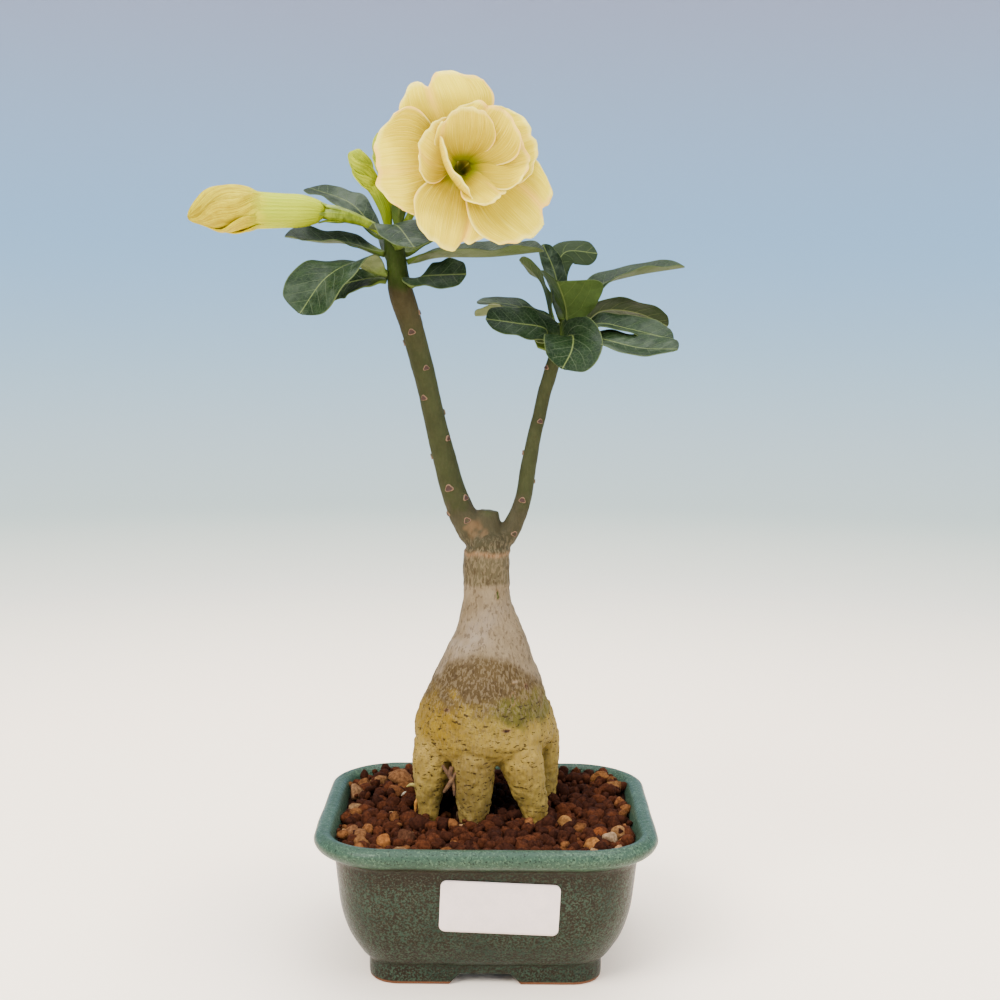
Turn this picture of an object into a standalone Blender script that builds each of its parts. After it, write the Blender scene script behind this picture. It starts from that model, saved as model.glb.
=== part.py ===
"""Potted desert rose: a grafted Adenium with a double yellow flower in a glazed pot.

Sizes are in millimetres. While it is built, X runs to the right, Y away from the viewer and Z up,
with the pot's middle at X = Y = 0 on the floor. At the end the whole object is shifted so that the
middle of its bounding box stands on the world origin.
"""

import math

import bmesh
import bpy
import numpy as np

MM = 0.001
UP = np.array([0.0, 0.0, 1.0])

# Pot
RIM_WIDTH = 130.0
RIM_LENGTH = 121.0
POT_HEIGHT = 58.4
POT_FLOOR_TOP = 9.5
FOOT_HEIGHT = 4.6
FOOT_THICKNESS = 9.0
FOOT_GAP_WIDTH = 27.0
FOOT_GAP_TOP = 19.0
FOOT_GAP_HEIGHT = 4.2
DRAIN_HOLE_RADIUS = 6.0
# Outside and inside of the wall from foot to floor: inset from the rim, height, corner radius
POT_OUTSIDE = (
    (21.4, 0.0, 11.0), (20.6, 1.5, 12.0), (20.6, 6.6, 12.5), (20.9, 7.8, 13.0), (17.3, 11.5, 16.0),
    (13.0, 18.6, 19.0), (10.1, 28.0, 21.0), (8.6, 38.0, 22.5), (7.5, 46.0, 23.5), (6.2, 48.5, 24.0),
    (2.2, 50.6, 27.0), (0.5, 53.2, 28.0), (0.0, 55.6, 28.0), (1.0, 57.6, 27.5), (2.8, POT_HEIGHT, 26.0),
)
POT_INSIDE = (
    (4.8, 58.0, 24.5), (6.4, 56.4, 23.5), (7.6, 53.0, 23.0), (9.0, 48.0, 22.0), (12.6, 40.0, 20.0),
    (15.0, 28.0, 18.0), (18.4, 18.0, 15.0), (24.0, 11.5, 11.0), (28.0, POT_FLOOR_TOP, 8.0),
)
CORNER_STEPS = 5

# Soil and its granules
SEAT_GAP = 0.35
SOIL_EDGE_HEIGHT = 53.6
SOIL_CORNER_RADIUS = 24.0
SOIL_MOUND = 3.0
SOIL_BACK_RISE = 3.4
GRANULE_SPACING = 9.6
GRANULE_RADIUS = (4.4, 5.8)
SMALLEST_GRANULE = 3.2
GRANULE_EDGE_GAP = 0.5
GRANULE_SCATTER = 1.2
GRANULE_BLOCK = 1.15
GRANULE_RAISED = 0.12
GRANULE_SEED = 11
SOIL_RING_SCALES = (1.0, 0.8, 0.55, 0.28)
ROOT_HOLE_CLEARANCE = 0.75

# Plant body: stations of x, y, z and radius from bottom to top
CAUDEX = (
    (-1.0, 12, 71, 15), (-1.0, 12, 74, 23), (-1.2, 12, 80, 27.6), (-1.2, 12, 86, 28.0),
    (-1.0, 12, 92, 26.9), (-0.5, 12, 100, 24.3), (0.0, 12, 111, 19.9), (0.3, 12, 122.5, 15.0),
    (-0.3, 12, 134, 10.9), (-0.9, 12, 143, 9.2), (-1.0, 12, 154, 9.4), (-0.4, 12, 158.5, 8.7),
    (-0.6, 12, 163, 8.6), (0.0, 12, 167, 5.5),
)
STUB = ((-0.8, 12, 160, 6.6), (-0.6, 12, 170, 5.4), (-0.2, 12, 174.2, 4.0))
ROOT_LEGS = (
    ((-17.5, 4, 92, 8), (-21.8, 1, 78, 7.4), (-23.3, 0, 68, 5.6), (-23.8, 0, 58, 3.2), (-24.0, 0, 46, 2.4)),
    ((-5.3, 4, 92, 9), (-5.0, -5, 79, 8.2), (-5.2, -6, 69, 7.2), (-5.4, -6, 59, 5.4), (-5.6, -6, 45, 3.8)),
    ((10.0, 6, 92, 9), (12.4, -2, 78, 8.2), (15.5, -3, 68, 6.6), (18.6, -3, 58, 4.4), (20.4, -3, 46, 3.2)),
    ((17.0, 18, 92, 9), (22.4, 21, 78, 6.6), (23.2, 22, 68, 5.6), (23.6, 22, 57, 4.2), (23.8, 22, 46, 3.2)),
    ((-4.0, 26, 92, 10), (-5.0, 33, 78, 8.0), (-6.0, 34, 68, 6.6), (-7.0, 35, 57, 4.6), (-8, 35, 45, 3.4)),
    ((-16, 18, 92, 9), (-21.5, 22, 78, 6.8), (-22.6, 23, 68, 5.6), (-23, 24, 57, 4.0), (-23.2, 24, 46, 3.0)),
)
LEFT_BRANCH = (
    (-1.5, 12, 160, 6.4), (-7.0, 12, 167, 5.9), (-12.8, 11.5, 178, 5.2), (-18.1, 10.5, 196, 4.6),
    (-23.3, 9, 218, 4.2), (-27.0, 7.5, 233.5, 4.4), (-30.7, 6, 247, 4.5), (-34.4, 5, 259, 4.9),
    (-35.8, 4.4, 267, 4.1), (-37.2, 3.6, 278, 3.9), (-38.0, 3.0, 284, 3.6),
)
RIGHT_BRANCH = (
    (1.5, 12, 159, 5.0), (5.6, 12, 162.6, 4.4), (9.6, 12.5, 168.7, 3.9), (13.3, 13, 178.2, 3.4),
    (16.5, 14, 197.7, 3.0), (19.8, 15, 213, 2.7), (22.5, 15.6, 224, 2.7), (25.0, 16, 233, 2.7),
    (28.0, 16, 242.3, 2.7), (30.0, 16, 249.0, 2.4),
)
BODY_VOXEL = 1.35
BODY_TRIANGLES = 2500

# Large leaves: stem, base height, heading in degrees, points of the midrib after the base, width,
# direction that the upper side faces at the base and at the tip, and fold in degrees
LEAF_THICKNESS = 0.9
LEAF_SEAT = 0.6
STALK_REACH = 3.6
STALK_CLIMB = 0.8
LEAF_STATIONS = (0.0, 0.1, 0.24, 0.4, 0.56, 0.71, 0.84, 0.94, 1.0)
LEAF_HALF_COLUMNS = 2
PETIOLE_HALF_WIDTH = 1.1
LEFT_LEAVES = {
    "back_upper": (281, 150, ((-54.6, 14, 293.7), (-72.2, 26, 300.6)), 17,
                   (0, -0.3, 0.95), (0, -0.3, 0.95), 12),
    "side": (274, 172, ((-55.7, 5, 278.4), (-65.6, 6, 278.7), (-79.3, 5, 280.6)), 19,
             (0, -0.3, 0.95), (0, -0.3, 0.95), 20),
    "drooping": (266.5, 205, ((-50.5, -8, 270.5), (-60.0, -20, 264), (-68.5, -26, 251)), 23,
                 (0, 0.35, 0.95), (-0.3, -0.85, 0.35), 14),
    "side_lower": (264, 178, ((-52, 4.5, 263), (-62, 5, 259.5), (-69, 4, 254.5)), 16,
                   (0, -0.6, 0.8), (0, -0.7, 0.7), 10),
    "front": (276.5, -72, ((-38.6, -10, 283.0), (-34.4, -20, 284.5), (-27.4, -34, 275)), 23,
              (-0.1, -0.1, 1), (0.2, -0.7, 0.7), 10),
    "round": (262.5, -25, ((-26.6, -6, 265.5), (-9.2, -13, 266.6)), 20,
              (0, -0.3, 0.95), (0, -0.85, 0.5), 10),
    "long": (271, -5, ((-19.4, 1, 275.3), (0, 1, 275.4), (21, 1, 276.5)), 17,
             (0, -0.17, 0.98), (0, -0.17, 0.98), 28),
    "behind_flower": (274, 50, ((-24, 16, 281), (-9.4, 28, 286)), 18, (0, -0.2, 1), (0, -0.2, 1), 18),
    "back": (270, 100, ((-37.5, 24, 279), (-37.0, 46, 284)), 18, (0, 0.2, 1), (0, 0.2, 1), 18),
}
RIGHT_LEAVES = {
    "back_narrow": (247.2, 136, ((20.5, 29, 264), (11.5, 35, 273.5)), 13,
                    (0.75, 0.2, 0.6), (0.75, 0.3, 0.6), 15),
    "upright": (249.2, 98, ((26.4, 22.5, 267.5), (20.8, 21.5, 279)), 11.5,
                (0.4, -0.85, 0.3), (0.4, -0.85, 0.3), 10),
    "front_upright": (245.8, -75, ((29.6, 3.5, 256), (28.6, -5, 264)), 24,
                      (0.45, 0.88, 0.1), (0.45, 0.88, 0.1), 25),
    "long_raised": (247.8, 45, ((43.4, 26, 264), (56, 31, 269), (78, 33, 272)), 17,
                    (0, -0.17, 0.98), (0, -0.17, 0.98), 28),
    "side_dark": (245.2, 12, ((43.3, 19, 254.4), (57.3, 20, 254.7), (70, 20, 249)), 18,
                  (0.2, 0.4, 0.9), (0.2, 0.4, 0.9), 12),
    "side_veined": (243.4, -16, ((42.7, 9, 249.4), (54, 7, 248), (71, 4, 244)), 18.5,
                    (0.1, -0.45, 0.9), (0.1, -0.45, 0.9), 20),
    "side_glossy": (241.2, -42, ((42.5, 1, 242.2), (57, -9, 239), (70.2, -18, 238.8)), 18,
                    (0.1, -0.5, 0.85), (0.1, -0.5, 0.85), 12),
    "hanging_round": (240, -90, ((32, 1, 245), (31.2, -10, 238.6), (27, -15, 230.8)), 23,
                      (0, -0.9, 0.4), (0, -0.9, 0.4), 10),
    "left_dark": (240.0, 214, ((21, 8, 246), (9.6, 4, 248), (-1.6, 0, 249.5)), 16,
                  (0, -0.75, 0.65), (0, -0.75, 0.65), 10),
    "left_curled": (243.4, 180, ((21.4, 16.2, 249.8), (8.5, 20, 255), (-5.5, 22, 256.2)), 14,
                    (0, -0.1, 1), (0, -0.3, 0.95), 12),
    "left_back": (240.4, 160, ((20, 25, 247.5), (8.6, 35, 252.5), (-6.5, 40, 251)), 15,
                  (0, -0.3, 0.95), (0, -0.3, 0.95), 14),
    "back_raised": (242.0, 66, ((33.5, 33, 258), (33, 41, 273), (42, 45, 278)), 16,
                    (0.3, 0.5, 0.8), (0, 0.5, 0.85), 8),
}
# Young leaves: points of the midrib, width and direction that the upper side faces
YOUNG_LEAF_FOLD = 20
YOUNG_LEAVES = {
    "left_young_leaf_1": ((-35.7, 0.9, 284.1), (-35.2, -1.4, 290), (-33.6, -2.4, 297), 6.0, (-0.3, 0.9, 0.3)),
    "left_young_leaf_2": ((-36.2, 5.0, 284.4), (-34.9, 7.4, 290), (-33.0, 9.6, 296), 5.5, (-0.3, -0.9, 0.3)),
    "right_young_leaf": ((30.6, 16.4, 249.1), (31.9, 15.0, 256), (33.4, 13.6, 263.5), 6.0, (-0.3, 0.9, 0.3)),
}

# Flower
FLOWER_CENTRE = np.array([-11.2, -24.0, 309.5])
FLOWER_FACING = np.array([0.24, -0.95, 0.14])
FLOWER_TOP_DIRECTION = np.array([-0.08, 0.1, 1.0])
PETAL_THICKNESS = 0.8
PETAL_ROWS = 5
PETAL_COLUMNS = 4
PETAL_CLAW = 3.0
PETAL_WIDEST_AT = 0.72
THROAT_RADIUS = (1.6, 3.4)
THROAT_DEPTH = 9.0
COROLLA_TUBE_STEPS = 13
# Whorls: petals, start angle, root radius, length, width, height of the root, climb at the root and
# at the edge in degrees, twist like a propeller, wave height and phase
PETAL_WHORLS = {
    "outer": (5, 92, 5.4, 31.0, 37.0, -1.6, 34, -22, 9, 1.1, 0.4),
    "middle": (5, 56, 4.6, 20.0, 25.0, 0.4, 52, 14, 12, 0.9, 1.3),
    "inner": (3, 20, 3.6, 13.5, 15.5, 2.2, 72, 44, 14, 0.7, 2.1),
}
COROLLA_TUBE = (
    (-20.2, 2.7, 302.6, 2.0), (-18.0, -0.6, 304.5, 2.5), (-15.2, -8.0, 306.6, 4.2),
    (-13.2, -15.5, 308.2, 5.8),
)
# The tube's mouth: distance out of the flower's centre, and radius
COROLLA_MOUTH = ((-2.0, 6.9), (0.6, 6.7), (3.2, 5.2))
FLOWER_STALK = (
    (-33.9, 3.8, 283.4, 1.6), (-30.0, 4.0, 290.5, 1.6), (-25.2, 4.2, 297.0, 1.8), (-21.2, 3.3, 301.5, 2.3),
)
SEPALS = 5
SEPAL_WIDTH = 2.6
SEPAL_THICKNESS = 0.7
SEPAL_TURN = 20
FLOWER_SEPAL_PATH = ((-22.4, 3.7, 300.2), (-19.9, 2.6, 302.6), (-17.8, -0.6, 304.6), (-16.6, -3.4, 305.5))
FLOWER_SEPAL_REACH = (1.4, 3.7, 4.6, 5.3, 6.2)

# Large bud
BUD_TUBE = (
    (-65.6, 0.4, 289.5, 2.8), (-68.0, 0.0, 290.0, 5.6), (-73.5, -0.8, 290.0, 7.6),
    (-80.0, -1.6, 290.0, 7.4), (-88.0, -2.6, 290.0, 6.8), (-94.0, -3.4, 290.1, 7.4),
    (-100.0, -4.2, 290.0, 8.6), (-105.0, -5.0, 289.2, 8.8), (-109.5, -5.6, 288.6, 7.2),
    (-113.0, -6.0, 288.4, 3.8),
)
BUD_LOBES = 5
BUD_LOBE_DEPTH = 0.05
BUD_TWIST = 1.2
BUD_STALK = (
    (-41.7, 2.7, 282.4, 1.8), (-47.0, 2.2, 285.4, 1.9), (-54.0, 1.0, 287.9, 2.6), (-64.9, 0.5, 289.4, 2.4),
)
SMALL_BUDS = {
    "small_bud_front": (
        (-39.0, 0.8, 284.1, 1.5), (-40.2, -0.9, 290.5, 1.9), (-43.6, -2.6, 298.5, 3.0),
        (-47.0, -4.4, 305.5, 4.4), (-48.6, -5.2, 309.5, 4.0), (-49.4, -5.6, 313.0, 1.6),
    ),
    "small_bud_back": (
        (-39.8, 5.2, 284.3, 1.4), (-39.9, 7.0, 291.0, 1.7), (-40.2, 9.6, 302.0, 2.5),
        (-42.2, 12.4, 313.0, 3.2), (-43.0, 13.6, 318.0, 2.6), (-43.6, 14.2, 321.0, 1.1),
    ),
}
ROOTLETS = (
    ((-17.5, -8.3, 76.0, 0.7), (-14.6, -9.6, 72.0, 0.8), (-12.6, -10.9, 67.5, 0.6)),
    ((-13.8, -10.9, 76, 0.9), (-14.2, -10.6, 72.8, 0.9), (-13, -10.6, 69, 0.7), (-12.6, -10.6, 64.5, 0.5)),
)

# Label on the front wall
LABEL_WIDTH = 44.0
LABEL_HEIGHT = 20.5
LABEL_THICKNESS = 0.6
LABEL_CENTRE = (5.3, 34.6)
LABEL_TILT_DEG = -2.3

# Materials: name, colour and roughness
GLAZE = ("Green glaze", (0.12, 0.24, 0.20), 0.35)
CLAY = ("Clay granules", (0.22, 0.085, 0.045), 0.95)
BARK = ("Bark", (0.36, 0.33, 0.20), 0.75)
LEAF = ("Leaf", (0.045, 0.12, 0.045), 0.4)
PETAL = ("Petal", (0.90, 0.74, 0.24), 0.55)
STALK = ("Stalk", (0.30, 0.42, 0.10), 0.55)
DRY_ROOT = ("Dry root", (0.30, 0.18, 0.09), 0.9)
LABEL_PAPER = ("Label paper", (0.80, 0.74, 0.72), 0.6)


def unit(vectors):
    """Vectors scaled to length one."""
    vectors = np.asarray(vectors, float)
    return vectors / np.linalg.norm(vectors, axis=-1, keepdims=True)


def smooth_path(stations, count):
    """A Catmull-Rom curve through the stations, sampled evenly; extra columns follow along."""
    stations = np.asarray(stations, float)
    ends = np.vstack([2 * stations[0] - stations[1], stations, 2 * stations[-1] - stations[-2]])
    pieces = []
    t = np.linspace(0, 1, 16, endpoint=False)[:, None]
    for a, b, c, d in zip(ends, ends[1:], ends[2:], ends[3:]):
        square = (2 * a - 5 * b + 4 * c - d) * t**2
        cube = (3 * b - a - 3 * c + d) * t**3
        pieces.append(0.5 * (2 * b + (c - a) * t + square + cube))
    curve = np.vstack(pieces + [stations[-1:]])
    along = np.r_[0, np.cumsum(np.linalg.norm(np.diff(curve[:, :3], axis=0), axis=1))]
    places = np.linspace(0, along[-1], count) if np.isscalar(count) else np.asarray(count) * along[-1]
    return np.column_stack([np.interp(places, along, column) for column in curve.T])


def principled(name, colour, roughness):
    """A material with one Principled shader; nothing on this object is metal."""
    material = bpy.data.materials.new(name)
    material.use_nodes = True
    shader = material.node_tree.nodes["Principled BSDF"]
    shader.inputs["Base Color"].default_value = (*colour, 1)
    shader.inputs["Roughness"].default_value = roughness
    shader.inputs["Metallic"].default_value = 0.0
    material.diffuse_color = (*colour, 1)
    return material


def new_object(name, points, faces, material, collection):
    """An object whose mesh has the points, in millimetres, and the faces."""
    mesh = bpy.data.meshes.new(name)
    mesh.from_pydata((np.asarray(points, float).reshape(-1, 3) * MM).tolist(), [], faces)
    mesh.validate()
    mesh.materials.append(material)
    obj = bpy.data.objects.new(name, mesh)
    collection.objects.link(obj)
    return obj


def face_outwards(obj):
    """All faces of a closed mesh turned to point out."""
    mesh = bmesh.new()
    mesh.from_mesh(obj.data)
    bmesh.ops.recalc_face_normals(mesh, faces=mesh.faces)
    mesh.to_mesh(obj.data)
    mesh.free()


def loft(name, rings, material, collection):
    """A closed solid through rings of equal point count, with a flat face on the first and last ring."""
    rings = np.asarray(rings, float)
    rows, columns = rings.shape[:2]
    faces = []
    for i in range(rows - 1):
        for j in range(columns):
            k = (j + 1) % columns
            faces.append((i * columns + j, i * columns + k, (i + 1) * columns + k, (i + 1) * columns + j))
    faces.append(tuple(range(columns))[::-1])
    faces.append(tuple((rows - 1) * columns + j for j in range(columns)))
    obj = new_object(name, rings, faces, material, collection)
    face_outwards(obj)
    return obj


def sheet(name, grid, thickness, material, collection):
    """A blade: a grid of points split into triangles and thickened alike on both faces."""
    rows, columns = grid.shape[:2]
    faces = []
    for i in range(rows - 1):
        for j in range(columns - 1):
            a, b = i * columns + j, i * columns + j + 1
            c, d = a + columns, b + columns
            faces += [(a, b, d), (a, d, c)] if j < (columns - 1) / 2 else [(a, b, c), (b, d, c)]
    obj = new_object(name, grid, faces, material, collection)
    solidify = obj.modifiers.new("Thickness", "SOLIDIFY")
    solidify.thickness = thickness * MM
    solidify.offset = 0
    return obj


def tube(name, stations, count, bevel_resolution, material, collection, wider=0.0):
    """A mesh made from a curve with a round bevel whose radius follows the stations."""
    path = smooth_path(stations, count)
    curve = bpy.data.curves.new(name, "CURVE")
    curve.dimensions = "3D"
    curve.bevel_depth = MM
    curve.bevel_resolution = bevel_resolution
    curve.use_fill_caps = True
    spline = curve.splines.new("POLY")
    spline.points.add(count - 1)
    for point, (x, y, z, radius) in zip(spline.points, path):
        point.co = (x * MM, y * MM, z * MM, 1)
        point.radius = radius + wider
    guide = bpy.data.objects.new(name + "_guide", curve)
    collection.objects.link(guide)
    mesh = bpy.data.meshes.new_from_object(guide.evaluated_get(bpy.context.evaluated_depsgraph_get()))
    bpy.data.objects.remove(guide)
    welded = bmesh.new()
    welded.from_mesh(mesh)
    bmesh.ops.remove_doubles(welded, verts=welded.verts, dist=1e-6)
    bmesh.ops.recalc_face_normals(welded, faces=welded.faces)
    welded.to_mesh(mesh)
    welded.free()
    mesh.materials.clear()
    mesh.materials.append(material)
    obj = bpy.data.objects.new(name, mesh)
    collection.objects.link(obj)
    return obj


def apply_modifiers(obj):
    """The object's mesh replaced by what its modifiers make of it."""
    graph = bpy.context.evaluated_depsgraph_get()
    mesh = bpy.data.meshes.new_from_object(obj.evaluated_get(graph))
    obj.modifiers.clear()
    obj.data = mesh


def combine(obj, others, operation):
    """One Boolean with a collection that holds the other objects, applied, and those objects removed."""
    operands = bpy.data.collections.new(obj.name + "_operands")
    bpy.context.scene.collection.children.link(operands)
    for other in others:
        if other.modifiers:
            apply_modifiers(other)
        for holder in list(other.users_collection):
            holder.objects.unlink(other)
        operands.objects.link(other)
    boolean = obj.modifiers.new(operation.title(), "BOOLEAN")
    boolean.operation = operation
    boolean.solver = "EXACT"
    boolean.operand_type = "COLLECTION"
    boolean.collection = operands
    apply_modifiers(obj)
    for other in others:
        bpy.data.objects.remove(other)
    bpy.data.collections.remove(operands)


def drop_scraps(obj):
    """Only the body with the most points kept."""
    mesh = bmesh.new()
    mesh.from_mesh(obj.data)
    waiting = set(mesh.verts)
    bodies = []
    while waiting:
        body, edge = set(), [waiting.pop()]
        while edge:
            vertex = edge.pop()
            body.add(vertex)
            near = {other.other_vert(vertex) for other in vertex.link_edges} & waiting
            waiting -= near
            edge += near
        bodies.append(body)
    largest = max(bodies, key=len)
    bmesh.ops.delete(mesh, geom=[vertex for vertex in mesh.verts if vertex not in largest], context="VERTS")
    mesh.to_mesh(obj.data)
    mesh.free()


def rounded_rectangle(half_width, half_length, radius, height):
    """Points around a rounded rectangle at one height, with one point in the middle of each side."""
    points = []
    corners = ((1, 1), (-1, 1), (-1, -1), (1, -1))
    for quarter, (side_x, side_y) in enumerate(corners):
        for step in range(CORNER_STEPS + 1):
            angle = math.pi / 2 * (quarter + step / CORNER_STEPS)
            x = side_x * (half_width - radius) + radius * math.cos(angle)
            y = side_y * (half_length - radius) + radius * math.sin(angle)
            points.append((x, y, height))
        next_x, next_y = corners[(quarter + 1) % 4]
        middle_x = 0.0 if side_y == next_y else side_x * half_width
        middle_y = 0.0 if side_x == next_x else side_y * half_length
        points.append((middle_x, middle_y, height))
    return points


def edge_distance(spot, half_width, half_length, radius):
    """How far a spot lies inside a rounded rectangle."""
    over = np.abs(spot) - (half_width - radius, half_length - radius)
    return float(radius - np.hypot(*np.maximum(over, 0)) - min(max(over), 0))


def pot_ring(inset, height, radius):
    """A ring of the pot's wall."""
    return rounded_rectangle(RIM_WIDTH / 2 - inset, RIM_LENGTH / 2 - inset, radius, height)


def gap_cutter(name, size_x, size_y, taper, material, collection):
    """A bar that cuts two opposite gaps in the foot ring and narrows upwards by the taper on each side."""
    rings = []
    for height, narrower in ((-1.0, 0.0), (FOOT_GAP_HEIGHT, taper)):
        x = size_x / 2 - (narrower if size_x < size_y else 0)
        y = size_y / 2 - (narrower if size_y < size_x else 0)
        rings.append([(x, y, height), (-x, y, height), (-x, -y, height), (x, -y, height)])
    return loft(name, rings, material, collection)


def make_pot(material, collection):
    """The pot: one lofted shell with four corner feet and a drain hole."""
    foot_inset = POT_OUTSIDE[0][0] + FOOT_THICKNESS
    rings = [pot_ring(foot_inset, FOOT_HEIGHT, 5.0), pot_ring(foot_inset, 0.0, 5.0)]
    rings += [pot_ring(inset, height, radius) for inset, height, radius in POT_OUTSIDE + POT_INSIDE]
    pot = loft("pot", rings, material, collection)
    taper = (FOOT_GAP_WIDTH - FOOT_GAP_TOP) / 2
    across = gap_cutter("gap_x", RIM_WIDTH, FOOT_GAP_WIDTH, taper, material, collection)
    along = gap_cutter("gap_y", FOOT_GAP_WIDTH, RIM_LENGTH, taper, material, collection)
    ends = ((0, 0, FOOT_HEIGHT - 2, DRAIN_HOLE_RADIUS), (0, 0, POT_FLOOR_TOP + 2, DRAIN_HOLE_RADIUS))
    drain = tube("drain", ends, 2, 4, material, collection)
    combine(pot, [across, along, drain], "DIFFERENCE")
    return pot


def soil_height(x, y):
    """Height of the soil's surface: mounded round the plant and risen towards the back corners."""
    mound = SOIL_MOUND * np.exp(-(x**2 + (y - 6) ** 2) / 34.0**2)
    back = SOIL_BACK_RISE * np.clip(y / 48.0, 0, 1) ** 1.5
    return SOIL_EDGE_HEIGHT + mound + back


def inner_inset(height):
    """Inset of the pot's inside at a height."""
    heights = [station[1] for station in POT_INSIDE][::-1]
    insets = [station[0] for station in POT_INSIDE][::-1]
    return float(np.interp(height, heights, insets))


def make_granule(index, x, y, radius, random, material, collection):
    """One angular granule, a squashed and jittered block sunk into the soil by nearly half."""
    mesh = bmesh.new()
    bmesh.ops.create_cube(mesh, size=GRANULE_BLOCK)
    bmesh.ops.triangulate(mesh, faces=mesh.faces)
    turn = np.linalg.qr(random.normal(size=(3, 3)))[0]
    stretch = random.uniform((0.85, 0.8, 0.75), (1.05, 1.0, 0.95))
    for vertex in mesh.verts:
        point = turn @ (np.array(vertex.co) * stretch) * radius * random.uniform(0.85, 1.05)
        vertex.co = (point + (x, y, float(soil_height(x, y)) + radius * GRANULE_RAISED)) * MM
    bmesh.ops.recalc_face_normals(mesh, faces=mesh.faces)
    data = bpy.data.meshes.new(f"granule_{index}")
    mesh.to_mesh(data)
    mesh.free()
    data.materials.append(material)
    granule = bpy.data.objects.new(data.name, data)
    collection.objects.link(granule)
    return granule


def make_soil(material, collection):
    """The soil: a filling of the pot's inside, granules fused to its top, and a hole for each root."""
    rings = []
    for inset, height, radius in POT_INSIDE[:2:-1]:
        lift = SEAT_GAP if height == POT_FLOOR_TOP else 0.0
        rings.append(pot_ring(inset + SEAT_GAP + lift, height + lift, radius))
    edge_inset = inner_inset(SOIL_EDGE_HEIGHT) + SEAT_GAP
    for scale in SOIL_RING_SCALES:
        ring = np.array(pot_ring(edge_inset, 0.0, SOIL_CORNER_RADIUS)) * scale
        ring[:, 2] = soil_height(ring[:, 0], ring[:, 1])
        if scale == 1.0:
            ring[:, 2] = np.minimum(ring[:, 2], SOIL_EDGE_HEIGHT + 1.6)
        rings.append(ring)
    soil = loft("soil", rings, material, collection)
    random = np.random.default_rng(GRANULE_SEED)
    granules = []
    reach_x, reach_y = RIM_WIDTH / 2 - edge_inset, RIM_LENGTH / 2 - edge_inset
    row_spacing = GRANULE_SPACING * math.sqrt(0.75)
    for row, y in enumerate(np.arange(-reach_y, reach_y, row_spacing)):
        for x in np.arange(-reach_x - (row % 2) * GRANULE_SPACING / 2, reach_x, GRANULE_SPACING):
            spot = np.array([x, y]) + random.uniform(-GRANULE_SCATTER, GRANULE_SCATTER, 2)
            room = edge_distance(spot, reach_x, reach_y, SOIL_CORNER_RADIUS) - GRANULE_EDGE_GAP
            radius = min(random.uniform(*GRANULE_RADIUS), room)
            if radius > SMALLEST_GRANULE:
                granule = make_granule(len(granules), *spot, radius, random, material, collection)
                granules.append(granule)
    combine(soil, granules, "UNION")
    holes = []
    for index, leg in enumerate(ROOT_LEGS):
        deeper = leg[1:] + ((*leg[-1][:2], leg[-1][2] - ROOT_HOLE_CLEARANCE, leg[-1][3]),)
        hole = tube(f"root_hole_{index}", deeper, 9, 3, material, collection, wider=ROOT_HOLE_CLEARANCE)
        holes.append(hole)
    combine(soil, holes, "DIFFERENCE")
    drop_scraps(soil)
    return soil


def make_plant_body(material, collection):
    """Caudex, root legs, stub and both branches grown together as one skin."""
    body = tube("plant_body", CAUDEX, 26, 10, material, collection)
    limbs = [tube("stub", STUB, 5, 4, material, collection)]
    for index, leg in enumerate(ROOT_LEGS):
        limbs.append(tube(f"leg_{index}", leg, 12, 5, material, collection))
    limbs.append(tube("left_branch", LEFT_BRANCH, 26, 4, material, collection))
    limbs.append(tube("right_branch", RIGHT_BRANCH, 22, 4, material, collection))
    combine(body, limbs, "UNION")
    remesh = body.modifiers.new("Grown skin", "REMESH")
    remesh.mode = "VOXEL"
    remesh.voxel_size = BODY_VOXEL * MM
    apply_modifiers(body)
    smooth = body.modifiers.new("Soft joints", "SMOOTH")
    smooth.factor = 0.5
    smooth.iterations = 3
    apply_modifiers(body)
    body.data.calc_loop_triangles()
    decimate = body.modifiers.new("Fewer faces", "DECIMATE")
    decimate.ratio = BODY_TRIANGLES / len(body.data.loop_triangles)
    apply_modifiers(body)
    body.data.shade_smooth()
    return body


def leaf_half_width(s, width):
    """Half the width of an obovate blade with a short stalk, from base s = 0 to tip s = 1."""
    shape = s**1.05 * (1.02 - s) ** 0.45
    shape = shape / (0.7141**1.05 * 0.3059**0.45)
    tip = np.minimum(1, (1.02 - s) / 0.06) ** 0.5
    return (PETIOLE_HALF_WIDTH + (width / 2 - PETIOLE_HALF_WIDTH) * shape) * tip


def leaf_grid(midrib, width, face_base, face_tip, fold_deg, stations, half_columns):
    """Grid of a blade: rows across the midrib, folded along it like a shallow V."""
    s = np.asarray(stations)
    path = smooth_path(midrib, s)
    along = unit(np.gradient(path, s, axis=0))
    facing = np.asarray(face_base, float) * (1 - s)[:, None] + np.asarray(face_tip, float) * s[:, None]
    across = unit(np.cross(along, facing))
    normal = np.cross(across, along)
    u = np.linspace(-1, 1, 2 * half_columns + 1)
    half = leaf_half_width(s, width)[:, None]
    fold = math.radians(fold_deg)
    sideways = (u * half * math.cos(fold))[:, :, None]
    raised = (np.abs(u) * half * math.sin(fold))[:, :, None]
    return path[:, None] + across[:, None] * sideways + normal[:, None] * raised


def stem_seat(branch, height, heading_deg):
    """Two points of a leaf stalk that leaves a branch: just clear of the bark, and further out."""
    path = smooth_path(branch, 60)
    x, y, radius = (np.interp(height, path[:, 2], path[:, column]) for column in (0, 1, 3))
    heading = math.radians(heading_deg)
    outward = np.array([math.cos(heading), math.sin(heading), 0.0])
    centre = np.array([x, y, height])
    further = outward * (radius + STALK_REACH) + UP * STALK_CLIMB
    return centre + outward * (radius + LEAF_SEAT), centre + further


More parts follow.
